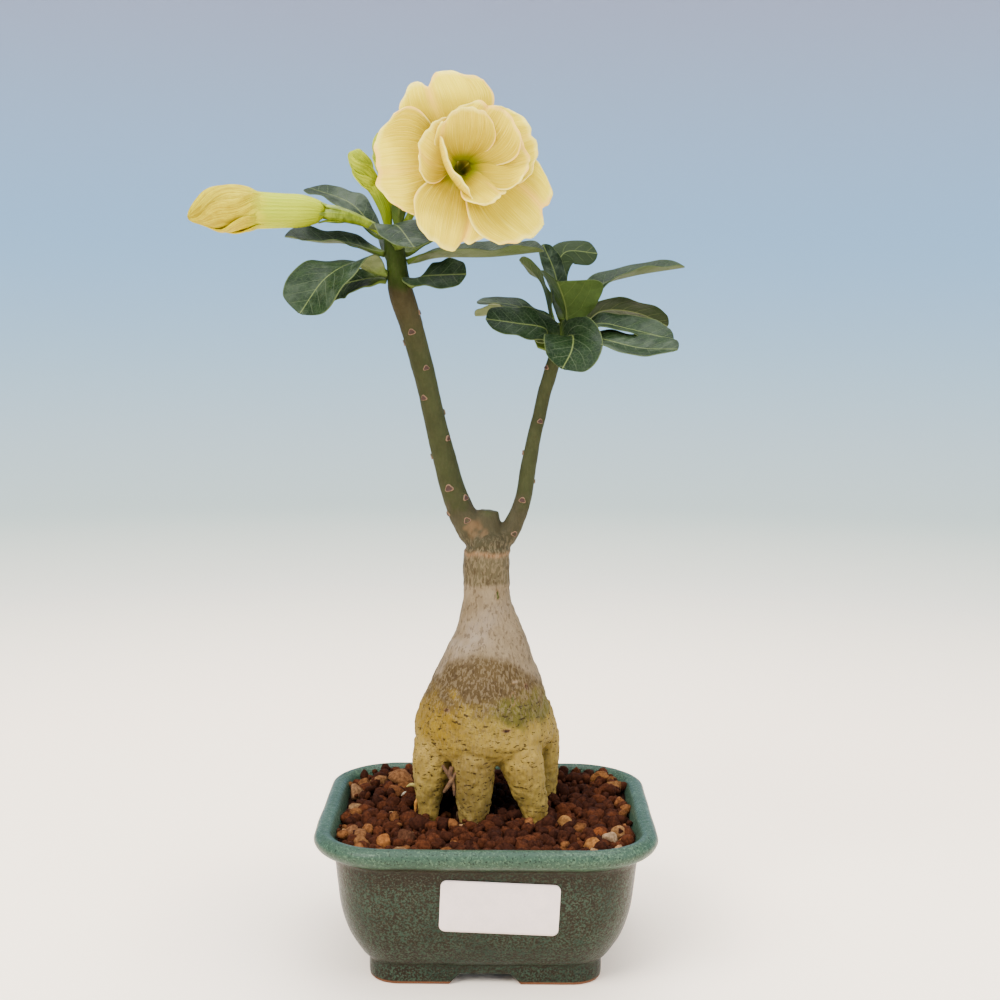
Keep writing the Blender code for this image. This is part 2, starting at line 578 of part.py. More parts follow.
def make_leaves(side, branch, leaves, material, collection):
    """The large leaves of one branch."""
    for name, (height, heading, rest, width, face_base, face_tip, fold) in leaves.items():
        midrib = [*stem_seat(branch, height, heading), *rest]
        grid = leaf_grid(midrib, width, face_base, face_tip, fold, LEAF_STATIONS, LEAF_HALF_COLUMNS)
        sheet(f"{side}_leaf_{name}", grid, LEAF_THICKNESS, material, collection)


def make_young_leaves(material, collection):
    """The small leaves in the growing tips."""
    for name, (*midrib, width, facing) in YOUNG_LEAVES.items():
        grid = leaf_grid(midrib, width, facing, facing, YOUNG_LEAF_FOLD, LEAF_STATIONS[::2], 1)
        sheet(name, grid, LEAF_THICKNESS, material, collection)


def flower_frame():
    """Unit vectors of the flower: to its right, to its top and out of its face."""
    out = unit(FLOWER_FACING)
    right = unit(np.cross(FLOWER_TOP_DIRECTION, out))
    return np.stack([right, np.cross(out, right), out])


def petal_grid(angle_deg, whorl, rows, columns):
    """Grid of one petal in the flower's own frame: it climbs, turns over and waves at the edge."""
    _, _, root, length, width, lift, climb_root, climb_edge, twist, wave, phase = whorl
    s = np.linspace(0, 1, rows + 1)[:, None]
    u = np.linspace(-1, 1, columns + 1)[None, :]
    reach = s * (1 - 0.27 * np.abs(u) ** 2.4)
    climb_a, climb_b = math.radians(climb_root), math.radians(climb_edge)
    fine = np.linspace(0, 1, 101)
    climb = climb_a + (climb_b - climb_a) * fine
    out_along = np.r_[0, np.cumsum(np.cos(climb[1:]) / 100)] * length
    up_along = np.r_[0, np.cumsum(np.sin(climb[1:]) / 100)] * length
    outward = root + np.interp(reach, fine, out_along)
    upward = lift + np.interp(reach, fine, up_along)
    full = PETAL_WIDEST_AT
    half = PETAL_CLAW + (width / 2 - PETAL_CLAW) * np.sin(np.pi / 2 * np.minimum(s / full, 1))
    half = half * (1 - 0.1 * np.maximum(0, (s - full) / (1 - full)) ** 2)
    sideways = u * half
    slope = math.radians(twist)
    upward = upward + sideways * math.sin(slope) * np.minimum(1, 3 * s)
    upward = upward + wave * s**2 * np.sin(2.4 * np.pi * u + phase + angle_deg)
    angle = math.radians(angle_deg)
    x = outward * math.cos(angle) - sideways * math.cos(slope) * math.sin(angle)
    y = outward * math.sin(angle) + sideways * math.cos(slope) * math.cos(angle)
    return np.stack([x, y, upward], axis=-1)


def make_bloom(material, collection):
    """The double corolla: tube, three whorls of petals rooted in its mouth, and the open throat."""
    frame = flower_frame()
    out = unit(FLOWER_FACING)
    mouth = tuple((*(FLOWER_CENTRE + out * distance), radius) for distance, radius in COROLLA_MOUTH)
    bloom = tube("bloom", COROLLA_TUBE + mouth, COROLLA_TUBE_STEPS, 4, material, collection)
    petals = []
    for name, whorl in PETAL_WHORLS.items():
        for index in range(whorl[0]):
            angle = whorl[1] + 360.0 / whorl[0] * index
            grid = petal_grid(angle, whorl, PETAL_ROWS, PETAL_COLUMNS) @ frame + FLOWER_CENTRE
            petals.append(sheet(f"petal_{name}_{index}", grid, PETAL_THICKNESS, material, collection))
    combine(bloom, petals, "UNION")
    top = FLOWER_CENTRE + out * (COROLLA_MOUTH[-1][0] + 1.0)
    bottom = top - out * THROAT_DEPTH
    throat = ((*bottom, THROAT_RADIUS[0]), (*top, THROAT_RADIUS[1]))
    combine(bloom, [tube("throat", throat, 2, 3, material, collection)], "DIFFERENCE")
    return bloom


def sepal_grid(turn_deg):
    """Grid of a narrow pointed sepal that lies round the start of the corolla tube."""
    s = np.linspace(0, 1, len(FLOWER_SEPAL_REACH))
    line = smooth_path(FLOWER_SEPAL_PATH, len(s))
    along = unit(np.gradient(line, axis=0))
    side = unit(np.cross(along, UP))
    top = np.cross(side, along)
    turn = math.radians(turn_deg)
    outward = side * math.cos(turn) + top * math.sin(turn)
    across = np.cross(along, outward)
    half = SEPAL_WIDTH / 2 * np.sqrt(1.04 - s)
    u = np.linspace(-1, 1, 3)
    centre = line + outward * np.array(FLOWER_SEPAL_REACH)[:, None]
    return centre[:, None] + across[:, None] * (u[None, :] * half[:, None])[:, :, None]


def make_flower_stalk(material, collection):
    """Flower stalk with five sepals that hold the start of the corolla tube."""
    stalk = tube("flower_stalk", FLOWER_STALK, 9, 2, material, collection)
    sepals = []
    for index in range(SEPALS):
        grid = sepal_grid(360 / SEPALS * index + SEPAL_TURN)
        sepals.append(sheet(f"flower_sepal_{index}", grid, SEPAL_THICKNESS, material, collection))
    combine(stalk, sepals, "UNION")
    return stalk


def lobed_tube(name, stations, count, sides, material, collection):
    """A solid round a path whose cross-section has five soft lobes that wind round it."""
    path = smooth_path(stations, count)
    centre, radius = path[:, :3], path[:, 3]
    along = unit(np.gradient(centre, axis=0))
    side = unit(np.cross(along, [0.0, 1.0, 0.001]))
    top = np.cross(side, along)
    s = np.linspace(0, 1, count)[:, None]
    angle = np.arange(sides)[None, :] * 2 * math.pi / sides
    wobble = 1 + BUD_LOBE_DEPTH * np.cos(BUD_LOBES * (angle + BUD_TWIST * s))
    reach = (radius[:, None] * wobble)[:, :, None]
    rings = centre[:, None] + reach * (
        side[:, None] * np.cos(angle)[:, :, None] + top[:, None] * np.sin(angle)[:, :, None]
    )
    return loft(name, rings, material, collection)


def make_label(material, collection):
    """A blank label that follows the front wall."""
    columns = np.linspace(-0.5, 0.5, 5) * LABEL_WIDTH
    rows = np.linspace(-0.5, 0.5, 6) * LABEL_HEIGHT
    tilt = math.radians(LABEL_TILT_DEG)
    heights = [station[1] for station in POT_OUTSIDE]
    insets = [station[0] for station in POT_OUTSIDE]
    grid = np.empty((len(rows), len(columns), 3))
    for i, row in enumerate(rows):
        for j, column in enumerate(columns):
            x = LABEL_CENTRE[0] + column * math.cos(tilt) - row * math.sin(tilt)
            z = LABEL_CENTRE[1] + column * math.sin(tilt) + row * math.cos(tilt)
            wall = -(RIM_LENGTH / 2 - np.interp(z, heights, insets))
            grid[i, j] = (x, wall - SEAT_GAP - LABEL_THICKNESS / 2, z)
    return sheet("label", grid, LABEL_THICKNESS, material, collection)


def make_rootlets(material, collection):
    """Thin dry root ends between the first two root legs."""
    first = tube("dried_rootlets", ROOTLETS[0], 5, 0, material, collection)
    combine(first, [tube("rootlet", ROOTLETS[1], 6, 0, material, collection)], "UNION")
    return first


def stand_on_origin(collection):
    """Everything hung on one empty and shifted so that the bounding box is centred on the origin."""
    bpy.context.view_layer.update()
    graph = bpy.context.evaluated_depsgraph_get()
    corners = []
    for obj in collection.objects:
        mesh = obj.evaluated_get(graph).to_mesh()
        points = np.empty(len(mesh.vertices) * 3, np.float32)
        mesh.vertices.foreach_get("co", points)
        points = points.reshape(-1, 3)
        corners += [points.min(axis=0), points.max(axis=0)]
    low, high = np.min(corners, axis=0), np.max(corners, axis=0)
    holder = bpy.data.objects.new("potted_desert_rose", None)
    for obj in list(collection.objects):
        obj.parent = holder
    collection.objects.link(holder)
    holder.location = (-(low[0] + high[0]) / 2, -(low[1] + high[1]) / 2, -low[2])


def main():
    for obj in list(bpy.data.objects):
        bpy.data.objects.remove(obj)
    collection = bpy.data.collections.new("Potted desert rose")
    bpy.context.scene.collection.children.link(collection)
    leaf = principled(*LEAF)
    petal = principled(*PETAL)
    green = principled(*STALK)
    make_pot(principled(*GLAZE), collection)
    make_soil(principled(*CLAY), collection)
    make_plant_body(principled(*BARK), collection)
    make_rootlets(principled(*DRY_ROOT), collection)
    make_label(principled(*LABEL_PAPER), collection)
    make_leaves("left", LEFT_BRANCH, LEFT_LEAVES, leaf, collection)
    make_leaves("right", RIGHT_BRANCH, RIGHT_LEAVES, leaf, collection)
    make_young_leaves(leaf, collection)
    make_bloom(petal, collection)
    make_flower_stalk(green, collection)
    lobed_tube("large_bud", BUD_TUBE, 18, 20, petal, collection)
    tube("large_bud_stalk", BUD_STALK, 8, 2, green, collection)
    for name, stations in SMALL_BUDS.items():
        lobed_tube(name, stations, 11, 15, green, collection)
    stand_on_origin(collection)


main()
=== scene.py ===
"""Looks of a potted desert rose: a grafted plant with a double yellow flower in a speckled green pot.

Design coordinates are millimetres, with the pot's middle at x = y = 0 and the surface that it stands
on at z = 0. X runs to the viewer's right and Y away from the viewer. ORIGIN, read from the pot's box in
model.glb, carries them to the world.
"""

import math

import bmesh
import bpy
import numpy as np
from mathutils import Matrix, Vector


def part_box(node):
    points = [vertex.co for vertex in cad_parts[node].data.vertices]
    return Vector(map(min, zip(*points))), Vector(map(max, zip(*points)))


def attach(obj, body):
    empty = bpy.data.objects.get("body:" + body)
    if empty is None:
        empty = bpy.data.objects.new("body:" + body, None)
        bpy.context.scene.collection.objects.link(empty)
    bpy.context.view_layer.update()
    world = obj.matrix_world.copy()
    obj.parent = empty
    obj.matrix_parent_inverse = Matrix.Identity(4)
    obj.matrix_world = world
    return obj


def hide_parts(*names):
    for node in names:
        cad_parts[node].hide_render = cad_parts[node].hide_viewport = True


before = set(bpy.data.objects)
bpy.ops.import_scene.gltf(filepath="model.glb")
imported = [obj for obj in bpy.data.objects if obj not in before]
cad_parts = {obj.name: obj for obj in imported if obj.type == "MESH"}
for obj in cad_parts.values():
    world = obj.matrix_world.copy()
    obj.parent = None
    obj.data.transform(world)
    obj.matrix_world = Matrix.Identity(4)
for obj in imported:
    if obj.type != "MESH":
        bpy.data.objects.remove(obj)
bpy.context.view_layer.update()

bl_info = {
    "name": "Potted desert rose",
    "version": (1, 0, 0),
    "blender": (4, 5, 0),
    "location": "3D View > Sidebar > Desert rose",
    "description": "Builds the finished surfaces of a potted desert rose",
    "category": "Add Mesh",
}

MM = 0.001
POT_LOW, POT_HIGH = (np.array(corner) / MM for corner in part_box("pot"))
ORIGIN = np.array([(POT_LOW[0] + POT_HIGH[0]) / 2, (POT_LOW[1] + POT_HIGH[1]) / 2, POT_LOW[2]])
BODY = "root"
UP = np.array([0.0, 0.0, 1.0])
TURN = 2 * math.pi

# Pot: wall stations of inset from the rim, height and corner radius
RIM_HALF_WIDTH = (POT_HIGH[0] - POT_LOW[0]) / 2
RIM_HALF_LENGTH = (POT_HIGH[1] - POT_LOW[1]) / 2
POT_HEIGHT = POT_HIGH[2] - POT_LOW[2]
FOOT_INSET = 30.4
BASE_HEIGHT = 4.6
FLOOR_TOP = 9.5
DRAIN_RADIUS = 6.0
GAP_HALF_WIDTH = 13.5
GAP_HALF_TOP = 9.5
GAP_HEIGHT = 4.2
GAP_FADES_AT = 7.8
POT_UNEVENNESS = 0.14
WALL_OUTSIDE = (
    (22.2, 0.0, 10.5), (21.2, 0.35, 11.2), (20.7, 1.5, 12.0), (20.6, 4.0, 12.2), (20.6, 6.2, 12.5),
    (20.5, 7.6, 13.0), (18.9, 9.0, 14.6), (17.0, 11.5, 16.0), (13.0, 18.6, 19.0), (10.1, 28.0, 21.0),
    (8.6, 38.0, 22.5), (7.7, 45.5, 23.5), (7.0, 48.6, 24.0), (4.6, 50.2, 25.5), (2.0, 51.7, 27.0),
    (0.5, 53.5, 28.0), (0.0, 55.5, 28.0), (0.9, 57.4, 27.5), (2.8, POT_HEIGHT, 26.0),
)
WALL_INSIDE = (
    (4.8, 58.1, 24.5), (6.4, 56.6, 23.5), (7.6, 53.0, 23.0), (9.0, 48.0, 22.0), (12.6, 40.0, 20.0),
    (15.0, 28.0, 18.0), (18.4, 18.0, 15.0), (24.0, 11.5, 11.0), (28.0, FLOOR_TOP, 8.0),
)
FOOT_INSIDE = ((FOOT_INSET, BASE_HEIGHT, 5.0), (FOOT_INSET, 0.4, 5.0), (FOOT_INSET - 0.5, 0.0, 5.3))

# Soil
SOIL_EDGE_HEIGHT = 53.6
SOIL_MOUND = 3.0
SOIL_BACK_RISE = 3.4
SOIL_CORNER_RADIUS = 22.0
SOIL_BOTTOM = 44.0
HOLLOW_PLACE = (-14.0, -3.0)
HOLLOW_RADIUS = 6.0
HOLLOW_DEPTH = 5.0
SOIL_BED_DEPTH = 2.6
SOIL_BED_TINT = (0.03, 0.009, 0.004)
# Painted shade that the soil bed is mixed toward, for the dark gaps between the granules
SOIL_SHADE = (0.004, 0.002, 0.001)
# Layers of granules: piece, share of the spacing, least and most radius, share of the radius that is
# sunk, share that is kept, and seed; tints are brown, rust, tan and cream
GRANULE_LAYERS = (
    ("soil_granules_lower", 0.92, (2.2, 2.9), 0.95, 1.0, 101),
    ("soil_granules_upper", 1.0, (2.1, 3.2), 0.05, 0.86, 102),
    ("soil_crumbs", 0.8, (0.7, 1.7), 0.0, 0.5, 103),
)
GRANULE_TINTS = ((0.024, 0.0072, 0.0034), (0.060, 0.0175, 0.0062), (0.14, 0.055, 0.017), (0.24, 0.14, 0.065))
GRANULE_PLANES = 10
# Larger stones: x, y, height of the middle over the soil, radius, colour; straw bits: points with
# radii, and colour
STONES = (
    (-36.1, 37.2, 1.2, 4.6, (0.17, 0.075, 0.028)), (-45.8, 37.0, 0.2, 3.4, (0.20, 0.095, 0.036)),
    (-50.8, 31.0, 0.2, 3.2, (0.15, 0.062, 0.022)), (-54.2, 24.0, 0.2, 2.9, (0.21, 0.11, 0.05)),
    (-38.1, 24.5, 0.0, 3.1, (0.13, 0.05, 0.018)), (-30.2, -33.5, 0.8, 4.0, (0.085, 0.034, 0.016)),
    (-38.6, -36.8, 0.6, 2.9, (0.25, 0.095, 0.024)), (-48.0, -31.5, 0.4, 3.1, (0.16, 0.07, 0.026)),
    (-51.5, -24.0, 0.2, 3.0, (0.17, 0.075, 0.03)), (-46.0, -39.0, 0.2, 2.8, (0.19, 0.085, 0.03)),
    (47.3, -31.5, 0.9, 3.6, (0.34, 0.23, 0.13)), (40.7, -39.0, 0.2, 2.9, (0.26, 0.11, 0.03)),
    (50.8, -25.5, 0.3, 2.8, (0.24, 0.12, 0.045)), (43.0, -27.0, 0.6, 3.0, (0.17, 0.05, 0.013)),
    (31.5, -14.0, 0.6, 2.9, (0.25, 0.12, 0.036)), (47.4, 41.0, 0.4, 3.8, (0.21, 0.085, 0.024)),
    (53.0, 31.0, 0.2, 3.2, (0.19, 0.085, 0.028)), (54.0, 14.0, 0.0, 2.6, (0.16, 0.06, 0.02)),
)
STRAWS = (
    ((-28.3, -2.5, 55.5, 0.35), (-28.1, -2.2, 58.6, 0.75), (-27.6, -1.8, 61.0, 0.2), (0.38, 0.17, 0.035)),
    ((-33.0, 18.0, 59.4, 0.3), (-30.8, 17.6, 60.4, 0.8), (-27.6, 17.0, 59.4, 0.4), (0.34, 0.28, 0.08)),
    ((-34.6, 9.5, 58.2, 0.2), (-33.6, 9.4, 59.2, 0.5), (-32.8, 9.2, 60.0, 0.2), (0.5, 0.45, 0.33)),
    ((-27.2, 30.0, 58.0, 0.5), (-27.0, 30.0, 62.0, 0.65), (-26.8, 30.0, 66.0, 0.5), (0.42, 0.2, 0.09)),
)
CAUDEX_PLACE = (-1.0, 12.0)

# Plant body: stations of x, y, z and radius
CAUDEX = (
    (-1.0, 12, 74, 15), (-1.0, 12, 77.5, 23), (-1.2, 12, 82, 27.2), (-1.2, 12, 87, 28.0),
    (-1.0, 12, 92, 26.9), (-0.5, 12, 100, 24.3), (0.0, 12, 111, 19.9), (0.3, 12, 122.5, 15.0),
    (-0.3, 12, 134, 10.9), (-0.9, 12, 143, 9.2), (-1.0, 12, 154, 9.4), (-0.4, 12, 158.5, 8.7),
    (-0.6, 12, 163, 8.6), (0.0, 12, 167, 5.5),
)
STUB = ((-0.8, 12, 160, 6.6), (-0.6, 12, 170, 5.4), (-0.2, 12, 174.2, 4.0))
ROOT_LEGS = (
    (
        (-17.0, 4, 92, 8), (-20.9, 0, 80, 8.3), (-22.3, -1, 69, 7.0), (-23.0, -1, 59, 4.8),
        (-23.4, -1, 46, 3.2),
    ),
    ((-5.3, 4, 92, 9), (-5.2, -6, 81, 8.6), (-5.2, -7, 70, 7.9), (-5.2, -7, 60, 6.5), (-5.4, -7, 45, 4.6)),
    ((9.8, 6, 92, 9), (12.6, -3, 80, 8.8), (15.4, -4, 69, 7.6), (18.4, -4, 59, 5.5), (20.6, -4, 46, 4.0)),
    ((17.0, 18, 92, 9), (22.2, 21, 80, 7.0), (23.0, 22, 69, 6.2), (23.4, 22, 57, 4.8), (23.6, 22, 46, 3.6)),
    ((-4.0, 26, 92, 10), (-5.0, 33, 78, 8.2), (-6.0, 34, 68, 7.2), (-7.0, 35, 57, 5.4), (-8, 35, 45, 4.0)),
    ((-16, 18, 92, 9), (-21.4, 22, 79, 7.2), (-22.6, 23, 68, 6.2), (-23, 24, 57, 4.6), (-23.2, 24, 46, 3.4)),
)
LEFT_BRANCH = (
    (-1.5, 12, 160, 6.4), (-7.0, 12, 167, 5.9), (-12.8, 11.5, 178, 5.2), (-18.1, 10.5, 196, 4.6),
    (-23.3, 9, 218, 4.2), (-27.0, 7.5, 233.5, 4.4), (-30.7, 6, 247, 4.5), (-34.4, 5, 259, 4.9),
    (-35.8, 4.4, 267, 4.1), (-37.2, 3.6, 278, 3.9), (-38.0, 3.0, 284, 3.2),
)
RIGHT_BRANCH = (
    (1.5, 12, 159, 5.0), (5.6, 12, 162.6, 4.4), (9.6, 12.5, 168.7, 3.9), (13.3, 13, 178.2, 3.4),
    (16.5, 14, 197.7, 3.0), (19.8, 15, 213, 2.7), (22.5, 15.6, 224, 2.7), (25.0, 16, 233, 2.7),
    (28.0, 16, 242.3, 2.7), (30.0, 16, 249.0, 2.2),
)
# Small wounds on the caudex's front: x, z, half width, half height and colour
SKIN_MARKS = (
    (3.6, 141.3, 0.7, 1.8, "shoot_green"), (9.7, 102.6, 0.8, 2.0, "bark_green"),
    (10.9, 108.8, 0.9, 0.5, "bark_beige"), (-15.6, 98.0, 1.1, 0.6, "scar_middle"),
    (7.4, 91.3, 1.4, 0.6, "scar_middle"), (15.0, 106.5, 0.6, 1.0, "scar_middle"),
)
# Ridges round the body at the grafts: height, width and how far they stand out
GRAFT_RIDGES = ((158.2, 0.9, 0.3), (160.0, 1.2, -0.25), (144.8, 0.8, 0.15), (143.2, 0.8, -0.12))
# A leaf scar from its middle outwards: share of its size and how far it stands off the bark
SCAR_PROFILE = (
    (0.04, 0.12), (0.25, 0.10), (0.45, 0.16), (0.62, 0.42), (0.76, 0.46), (0.9, 0.25),
    (1.0, -0.12), (0.9, -0.8),
)
# Leaf scars: branch, height, angle round the branch from the viewer's side to the right, and size
LEAF_SCARS = (
    (LEFT_BRANCH, 244.9, -4, 1.5), (LEFT_BRANCH, 230.6, 20, 1.3), (LEFT_BRANCH, 219.6, -30, 1.4),
    (LEFT_BRANCH, 202.3, 51, 1.4), (LEFT_BRANCH, 183.9, -13, 1.8), (LEFT_BRANCH, 178.3, 48, 1.5),
    (LEFT_BRANCH, 175.0, -70, 1.4), (LEFT_BRANCH, 170.6, 6, 1.5), (LEFT_BRANCH, 241.2, -88, 1.5),
    (LEFT_BRANCH, 196.6, -88, 1.4), (LEFT_BRANCH, 212.0, 110, 1.5), (LEFT_BRANCH, 236.0, 150, 1.5),
    (LEFT_BRANCH, 224.0, 210, 1.5), (LEFT_BRANCH, 206.0, 190, 1.5), (LEFT_BRANCH, 190.0, 165, 1.5),
    (LEFT_BRANCH, 250.5, 80, 1.4), (LEFT_BRANCH, 252.0, 215, 1.4),
    (RIGHT_BRANCH, 230.1, -48, 1.2), (RIGHT_BRANCH, 209.6, 18, 1.2), (RIGHT_BRANCH, 178.3, -4, 1.4),
    (RIGHT_BRANCH, 166.0, 30, 1.4), (RIGHT_BRANCH, 196.4, -88, 1.2), (RIGHT_BRANCH, 202.0, 150, 1.2),
    (RIGHT_BRANCH, 186.0, 110, 1.2), (RIGHT_BRANCH, 219.0, 190, 1.2), (RIGHT_BRANCH, 236.0, 120, 1.1),
)

# Large leaves: base height, heading in degrees, points of the midrib after the base, width, direction
# that the upper side faces at the base and at the tip, fold in degrees, exponent of the blade's start
# (low is oval, high is spoon-shaped), grey bloom on top, which is also painted sheen, and darkness of
# the underside, which is painted shade
LEAF_SEAT = 0.2
STALK_REACH = 3.6
STALK_CLIMB = 0.8
STALK_HALF_WIDTH = 1.1
LEAF_HALF_THICKNESS = 0.26
VEIN_SPACING = 5.0
LEAF_SEED = 200
LEFT_LEAVES = {
    "back_upper": (281, 150, ((-54.6, 14, 293.7), (-72.2, 26, 300.6)), 17,
                   (0, -0.3, 0.95), (0, -0.3, 0.95), 12, 1.0, 0.7, 0.3),
    "side": (274, 172, ((-55.7, 5, 278.4), (-65.6, 6, 278.7), (-79.3, 5, 280.6)), 19,
             (0, -0.3, 0.95), (0, -0.3, 0.95), 20, 1.0, 0.5, 0.3),
    "drooping": (266.5, 205, ((-50.5, -8, 270.5), (-61.0, -20, 264), (-69.8, -26, 251)), 27,
                 (0, 0.35, 0.95), (-0.3, -0.85, 0.35), 14, 0.95, 0.4, 0.0),
    "side_lower": (264, 178, ((-50, 4.5, 264), (-57.5, 5, 262), (-64, 4, 258)), 15,
                   (0, -0.6, 0.8), (0, -0.7, 0.7), 10, 0.9, 0.3, 0.3),
    "front": (276.5, -72, ((-38.6, -10, 282.6), (-34.4, -20, 283.4), (-27.4, -34, 275)), 19.5,
              (-0.1, -0.1, 1), (0.2, -0.7, 0.7), 10, 0.95, 0.75, 0.3),
    "round": (262.5, -25, ((-25.6, -6, 265.3), (-9.0, -13, 266.2)), 15.5,
              (0, -0.4, 0.9), (0, -0.85, 0.5), 10, 0.6, 0.12, 0.3),
    "long": (271, -5, ((-19.4, 1, 273.5), (0, 1, 273.6), (20.5, 0, 275.6)), 21,
             (0, -0.15, 0.99), (0, -0.22, 0.97), 28, 0.85, 0.6, 0.28),
    "behind_flower": (274, 50, ((-24, 16, 281), (-9.4, 28, 286)), 18,
                      (0, -0.2, 1), (0, -0.2, 1), 18, 1.0, 0.3, 0.4),
    "back": (270, 100, ((-37.5, 24, 279), (-37.0, 46, 284)), 18, (0, 0.2, 1), (0, 0.2, 1), 18, 1.0, 0.3, 0.5),
}
RIGHT_LEAVES = {
    "back_narrow": (247.2, 136, ((20.5, 29, 264), (11.5, 35, 273.5)), 11,
                    (0.75, 0.2, 0.6), (0.75, 0.3, 0.6), 15, 1.0, 0.2, 0.35),
    "upright": (249.2, 98, ((25.4, 22.5, 267.5), (20.4, 21.5, 279)), 9.5,
                (0.4, -0.85, 0.3), (0.4, -0.85, 0.3), 10, 0.8, 1.0, 0.3),
    "front_upright": (245.8, -75, ((29.2, 3.0, 255.5), (25.8, -3.5, 264.0)), 34,
                      (0.66, 0.75, 0.1), (0.66, 0.75, 0.1), 28, 1.9, 0.2, 0.5),
    "long_raised": (247.8, 45, ((43.4, 26, 262.5), (56, 31, 267.3), (78, 33, 271)), 16,
                    (0, -0.17, 0.98), (0, -0.17, 0.98), 28, 0.9, 0.2, 0.35),
    "side_dark": (245.2, 12, ((43.3, 19, 253.4), (57.3, 20, 253), (70.5, 20, 247.5)), 17,
                  (0.2, 0.4, 0.9), (0.2, 0.45, 0.88), 8, 0.8, 0.2, 1.0),
    "side_veined": (243.4, -16, ((42.7, 9, 248), (54, 7, 246), (71, 4, 242)), 17,
                    (0.1, -0.45, 0.9), (0.1, -0.45, 0.9), 20, 0.85, 0.4, 0.3),
    "side_glossy": (241.2, -42, ((42.5, 1, 242.2), (57, -9, 239), (70.2, -18, 238.8)), 18,
                    (0.1, -0.5, 0.85), (0.1, -0.5, 0.85), 12, 0.9, 0.6, 0.3),
    "hanging_round": (240, -90, ((31.6, 0, 243.4), (31.0, -10, 238.0), (27.4, -15, 231.2)), 23,
                      (0, -0.9, 0.4), (0, -0.9, 0.4), 10, 0.75, 0.1, 0.3),
    "left_dark": (240.0, 214, ((21, 8, 246), (9.6, 4, 248), (-1.6, 0, 249.5)), 16,
                  (0, -0.75, 0.65), (0, -0.75, 0.65), 10, 0.6, 0.0, 0.3),
    "left_curled": (243.4, 180, ((21.4, 16.2, 249.8), (8.5, 20, 255), (-5.5, 22, 256.2)), 14,
                    (0, -0.1, 1), (0, -0.3, 0.95), 12, 0.9, 0.7, 0.1),
    "left_back": (240.4, 160, ((20, 25, 247.5), (8.6, 35, 252.5), (-6.5, 40, 251)), 15,
                  (0, -0.3, 0.95), (0, 0.3, 0.95), 14, 0.9, 0.7, 0.0),
    "back_raised": (242.0, 66, ((30, 31, 257), (27.0, 38, 268.5), (30.5, 43, 276.8), (43.5, 45, 276.4)),
                    13.5, (-0.11, 0.73, -0.61), (-0.11, 0.73, -0.61), 6, 2.6, 0.05, 1.0),
}
# Young leaves: points of the midrib, width and direction that the upper side faces; fresh top colour
YOUNG_LEAF_TOP = (0.02, 0.05, 0.004)
YOUNG_LEAVES = {
    "left_young_leaf_1": ((-35.7, 0.9, 283.9), (-35.2, -1.4, 290), (-33.6, -2.4, 297), 6.0, (-0.3, 0.9, 0.3)),
    "left_young_leaf_2": ((-36.2, 5.0, 284.0), (-34.9, 7.4, 290), (-33.0, 9.6, 296), 5.5, (-0.3, -0.9, 0.3)),
    "right_young_leaf": ((30.6, 16.4, 248.9), (31.9, 15.0, 256), (33.4, 13.6, 263.5), 6.0, (-0.3, 0.9, 0.3)),
}

# Flower
FLOWER_CENTRE = np.array([-10.9, -24.0, 307.2])
FLOWER_FACING = np.array([0.24, -0.95, 0.14])
FLOWER_TOP_DIRECTION = np.array([-0.08, 0.1, 1.0])
# Petals: angle, length, width, root radius, height of the root, climb at the root and at the edge in
# degrees, sideways slope in degrees, ruffle height, ruffle count, phase, place and depth of a notch,
# and how far the petal wraps round the flower's axis
OUTER_PETALS = (
    (104, 28.6, 36, 5.2, -1.4, 30, -20, -8, 1.3, 1.6, 0.4, 0.22, 0.15, 0.1),
    (182, 27.6, 39, 5.4, -1.4, 30, -22, -9, 1.2, 1.5, 2.0, 0.15, 0.04, 0.1),
    (256, 28.4, 31, 5.4, -1.2, 26, -26, -9, 1.2, 1.4, 3.6, 0.45, 0.10, 0.1),
    (318, 34.2, 38, 5.2, -1.2, 26, -20, -8, 1.3, 1.7, 5.0, 0.36, 0.09, 0.1),
    (17, 25.0, 31, 5.4, -2.2, 32, -16, -5, 0.9, 1.5, 0.9, 0.0, 0.03, 0.1),
)
INNER_PETALS = (
    (56, 23.0, 29, 3.3, 0.9, 49, 6, -10, 0.9, 1.6, 0.2, 0.3, 0.05, 0.25),
    (11, 22.2, 26, 3.3, 0.0, 45, 0, -12, 1.2, 2.2, 1.6, 0.1, 0.04, 0.25),
    (147, 18.1, 26, 3.3, 0.4, 50, 14, -8, 0.9, 1.8, 3.2, 0.5, 0.04, 0.35),
    (92, 21.2, 23, 2.9, 1.2, 58, 28, -6, 0.8, 1.5, 4.4, 0.75, 0.06, 0.45),
    (310, 17.5, 25, 3.1, 0.5, 52, 22, -26, 1.3, 2.0, 2.7, 0.1, 0.05, 0.25),
    (202, 13.6, 31, 5.0, 1.6, 50, 104, 9, 1.7, 1.7, 5.2, 0.0, 0.03, 0.5),
)
INNER_SHIFT = (0.2, -3.1)
# Root, middle and edge of the inner petals
INNER_PETAL_TINTS = ((0.34, 0.235, 0.0), (0.48, 0.34, 0.0), (0.76, 0.555, 0.008))
PETAL_SCATTER = {"Subsurface_Scale": 0.003, "Subsurface_Radius": (1.0, 0.7, 0.1)}
PETAL_ROWS = 44
PETAL_CLAW = 3.2
PETAL_WIDEST_AT = 0.7
PETAL_THICKNESS = 0.5
COROLLA_TUBE = (
    (-20.2, 2.7, 302.6, 2.0), (-18.0, -0.6, 304.4, 2.5), (-15.8, -7.4, 305.2, 3.7),
    (-13.5, -13.5, 305.7, 4.6),
)
